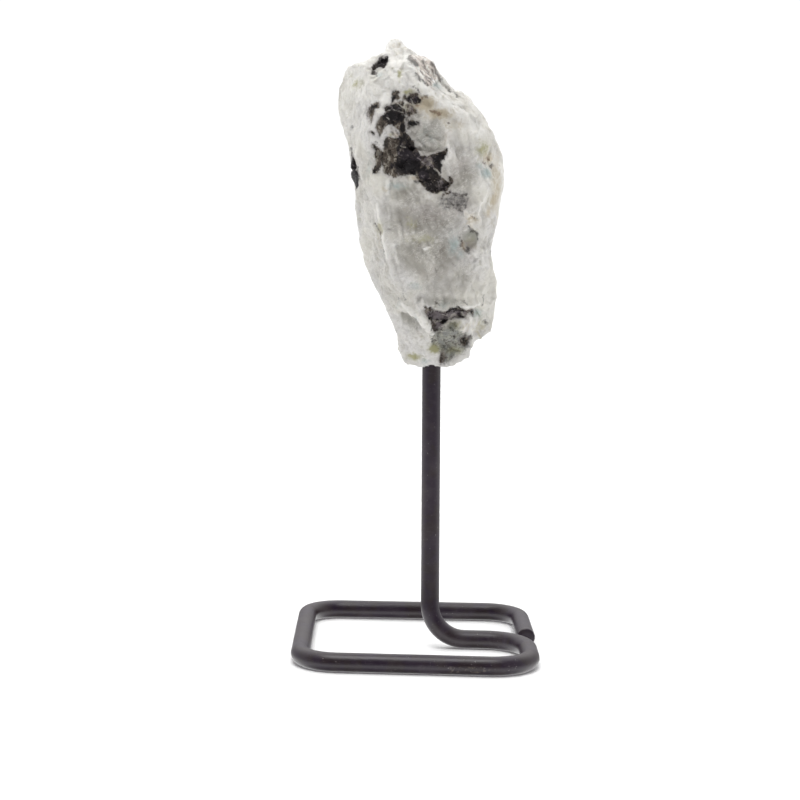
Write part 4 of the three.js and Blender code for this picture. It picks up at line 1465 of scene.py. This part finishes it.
# Crumbly ground, and the rock at the foot, whose share is given too.
def rockLayer(graph, look, noise, colour):
    murk, fleck, speck = noise.murk, noise.fleck, noise.speck
    crumb = graph.attribute("crumb") + (fleck - 0.5) * 3.0 + (murk - 0.5) * 4.0
    crumb = crumb.step(1.0, -1.2)
    crumbly = graph.mix(speck.step(0.52, 0.60), look["crumb"], look["vein"])
    crumbly = graph.mix(speck.step(0.47, 0.37), crumbly, look["rockDark"])
    colour = graph.mix(crumb * 0.78, colour, crumbly)
    clump = graph.noise(noise.place, 0.42, 4.0, 0.6, 0.8)
    rock = graph.attribute("rock") + (fleck - 0.5) * 2.4 + (murk - 0.5) * 2.4
    rock = rock.step(0.5, -0.5)
    rocky = graph.mix(clump.step(0.40, 0.60), look["rockGreen"], look["rockGrey"])
    rocky = graph.mix((speck + (clump - 0.5) * 0.8).step(0.50, 0.36), rocky, look["rockDark"])
    rocky = graph.mix(speck.step(0.56, 0.68), rocky, look["vein"])
    rocky = graph.mix(graph.attribute("olive") * 0.6, rocky, look["olive"])
    height = (speck - 0.5) * (rock + crumb * 0.6) * 0.6
    return graph.mix(rock * 0.85, colour, rocky), height, rock


def lensLayer(graph, look, noise, colour):
    murk, fleck = noise.murk, noise.fleck
    lens = graph.attribute("lens") + (fleck - 0.5) * 1.6 + (murk - 0.5) * 1.6
    lens = lens.step(0.6, -0.6) * (1.2 * fleck + 0.6 * murk - 0.2)
    return graph.mix(lens * (1 - graph.attribute("rosy") * 0.75), colour, look["lens"])


# Marks are like ink, or like rust where the stone is tan.
def markLayer(graph, look, noise, colour):
    mark = graph.attribute("marks") + (noise.grain - 0.5) * 0.9 + (noise.fleck - 0.5) * 1.2
    ink = graph.mix(graph.attribute("tan").step(0.15, 0.6), look["ink"], look["rust"])
    return graph.mix(mark.step(0.26, -0.24) * 0.75, colour, ink)


# The dark crystals: how far a place is from them with their ragged edge, their own colour, how
# brown they are, and the fibres in them.
def crystalLayer(graph, look, noise):
    fleck, grain = noise.fleck, noise.grain
    moved = graph.moved(noise.place, fleck)
    fibre = graph.noise(graph.stretched(noise.bent, 3.2, -50), 1.3, 4.0, 0.6)
    stripe = graph.noise(graph.stretched(noise.bent, 2.6), 1.2, 4.0, 0.68)
    chip = graph.cells(graph.stretched(moved, 2.0), 1.15, output=1)
    edge = graph.attribute("dark") + (fleck - 0.5) * 1.0 + (fibre - 0.5) * 0.5
    edge = edge + (grain - 0.5) * 0.5

    # black or dusky by facets, and slate grey in places: a painted sheen
    black = graph.attribute("black")
    tone = graph.attribute("facet") * 0.6 + (fibre - 0.5) * 2.4 + (chip - 0.5) * 1.0
    crystal = graph.mix(tone - black + 0.2, look["crystalBlack"], look["crystalDusk"])
    slateSheen = (graph.attribute("slateSheen") + (grain - 0.5) * 0.5).step(0.15, -0.15)
    crystal = graph.mix(slateSheen * 0.85, crystal, look["slateSheen"])

    # brown and translucent, with a frayed rim
    rim = edge.step(-0.7, -0.1) * 0.5
    brown = graph.attribute("brown") + (chip - 0.5) * 1.4 + (stripe - 0.5) * 3.4
    brown = (brown + (grain - 0.5) * 0.8 + rim - black * 0.7).step(0.1, 1.15)
    crystal = graph.mix(brown, crystal, look["crystalBrown"])
    ashen = graph.attribute("ashen") + (fibre - 0.5) * 3.0 + (fleck - 0.5) * 1.6
    crystal = graph.mix(ashen.step(0.25, 0.95) * 0.8, crystal, look["ashen"])
    fray = graph.attribute("brown") + rim * 0.8 + (stripe - 0.5) * 9.0
    fray = fray + (chip - 0.5) * 3.0 + (grain - 0.5) * 2.0 - black
    crystal = graph.mix(fray.step(0.5, -0.4) * 0.7 * brown, crystal, look["crystalBlack"])
    crystal = graph.mix(fray.step(1.6, 2.5) * 0.85, crystal, look["crystalPale"])

    # pale cracks and veins
    cracks = 1.0 - (graph.cells(moved, 0.8, "DISTANCE_TO_EDGE") * 8.0).held()
    net = (cracks * graph.attribute("net") + (fleck - 0.5) * 0.9).step(0.3, 0.9)
    crystal = graph.mix(net * 0.6, crystal, look["crystalPale"])
    vein = graph.attribute("veins") + (grain - 0.5) * 0.4 + (fleck - 0.5) * 0.3
    crystal = graph.mix(vein.step(0.12, -0.14) * 0.62, crystal, look["vein"])
    return edge, crystal, brown, fibre


# Cloudy feldspar with stains, mica, rock and marks, and the near-black crystals in it.
def stoneMaterial():
    look = {key: paint(*value) for key, value in stoneLook.items() if isinstance(value, tuple)}
    material, graph, place = newMaterial("cloudyMoonstone")
    noise = StoneNoise(graph, place)
    edge, crystal, brown, fibre = crystalLayer(graph, look, noise)
    inCrystal = edge.step(0.34, -0.16)
    colour, height = feldsparLayer(graph, look, noise)
    colour = stainLayers(graph, look, noise, colour)
    colour, flaky = micaLayer(graph, look, noise, colour)
    colour, crumbly, rock = rockLayer(graph, look, noise, colour)
    colour = lensLayer(graph, look, noise, colour)
    # ashen round the crystals
    colour = graph.mix(edge.step(1.0, 0.1) * 0.30, colour, look["ashen"])
    colour = markLayer(graph, look, noise, colour)
    height = height + flaky + crumbly + (fibre - 0.5) * inCrystal * 0.3
    normal = graph.bump(height, 1.0, millimetre)
    feldspar = graph.wire("BsdfPrincipled", {}, {
        "Base Color": colour,
        "Roughness": 0.42 + 0.2 * noise.cloud + 0.15 * noise.grain + 0.12 * rock,
        "IOR": 1.52,
        "Subsurface Weight": stoneLook["subsurface"],
        "Subsurface Radius": (1.0, 0.95, 0.85),
        "Subsurface Scale": stoneLook["glowDepth"] * millimetre,
        "Normal": normal,
    })
    crystals = graph.wire("BsdfPrincipled", {}, {
        "Base Color": crystal,
        "Roughness": 0.28 + 0.2 * noise.grain + brown * 0.2,
        "IOR": 1.52,
        "Specular IOR Level": 0.2,
        "Normal": normal,
    })
    surface = graph.wire("MixShader", {}, {0: inCrystal, 1: feldspar, 2: crystals})
    graph.node("OutputMaterial", {}, {"Surface": surface})
    return material


makeCamera()
makeStage()
print("stage made", flush=True)
makeStand()
print("stand made", flush=True)
makeStone()
print("stone made", flush=True)
bpy.context.scene.view_settings.view_transform = "Standard"
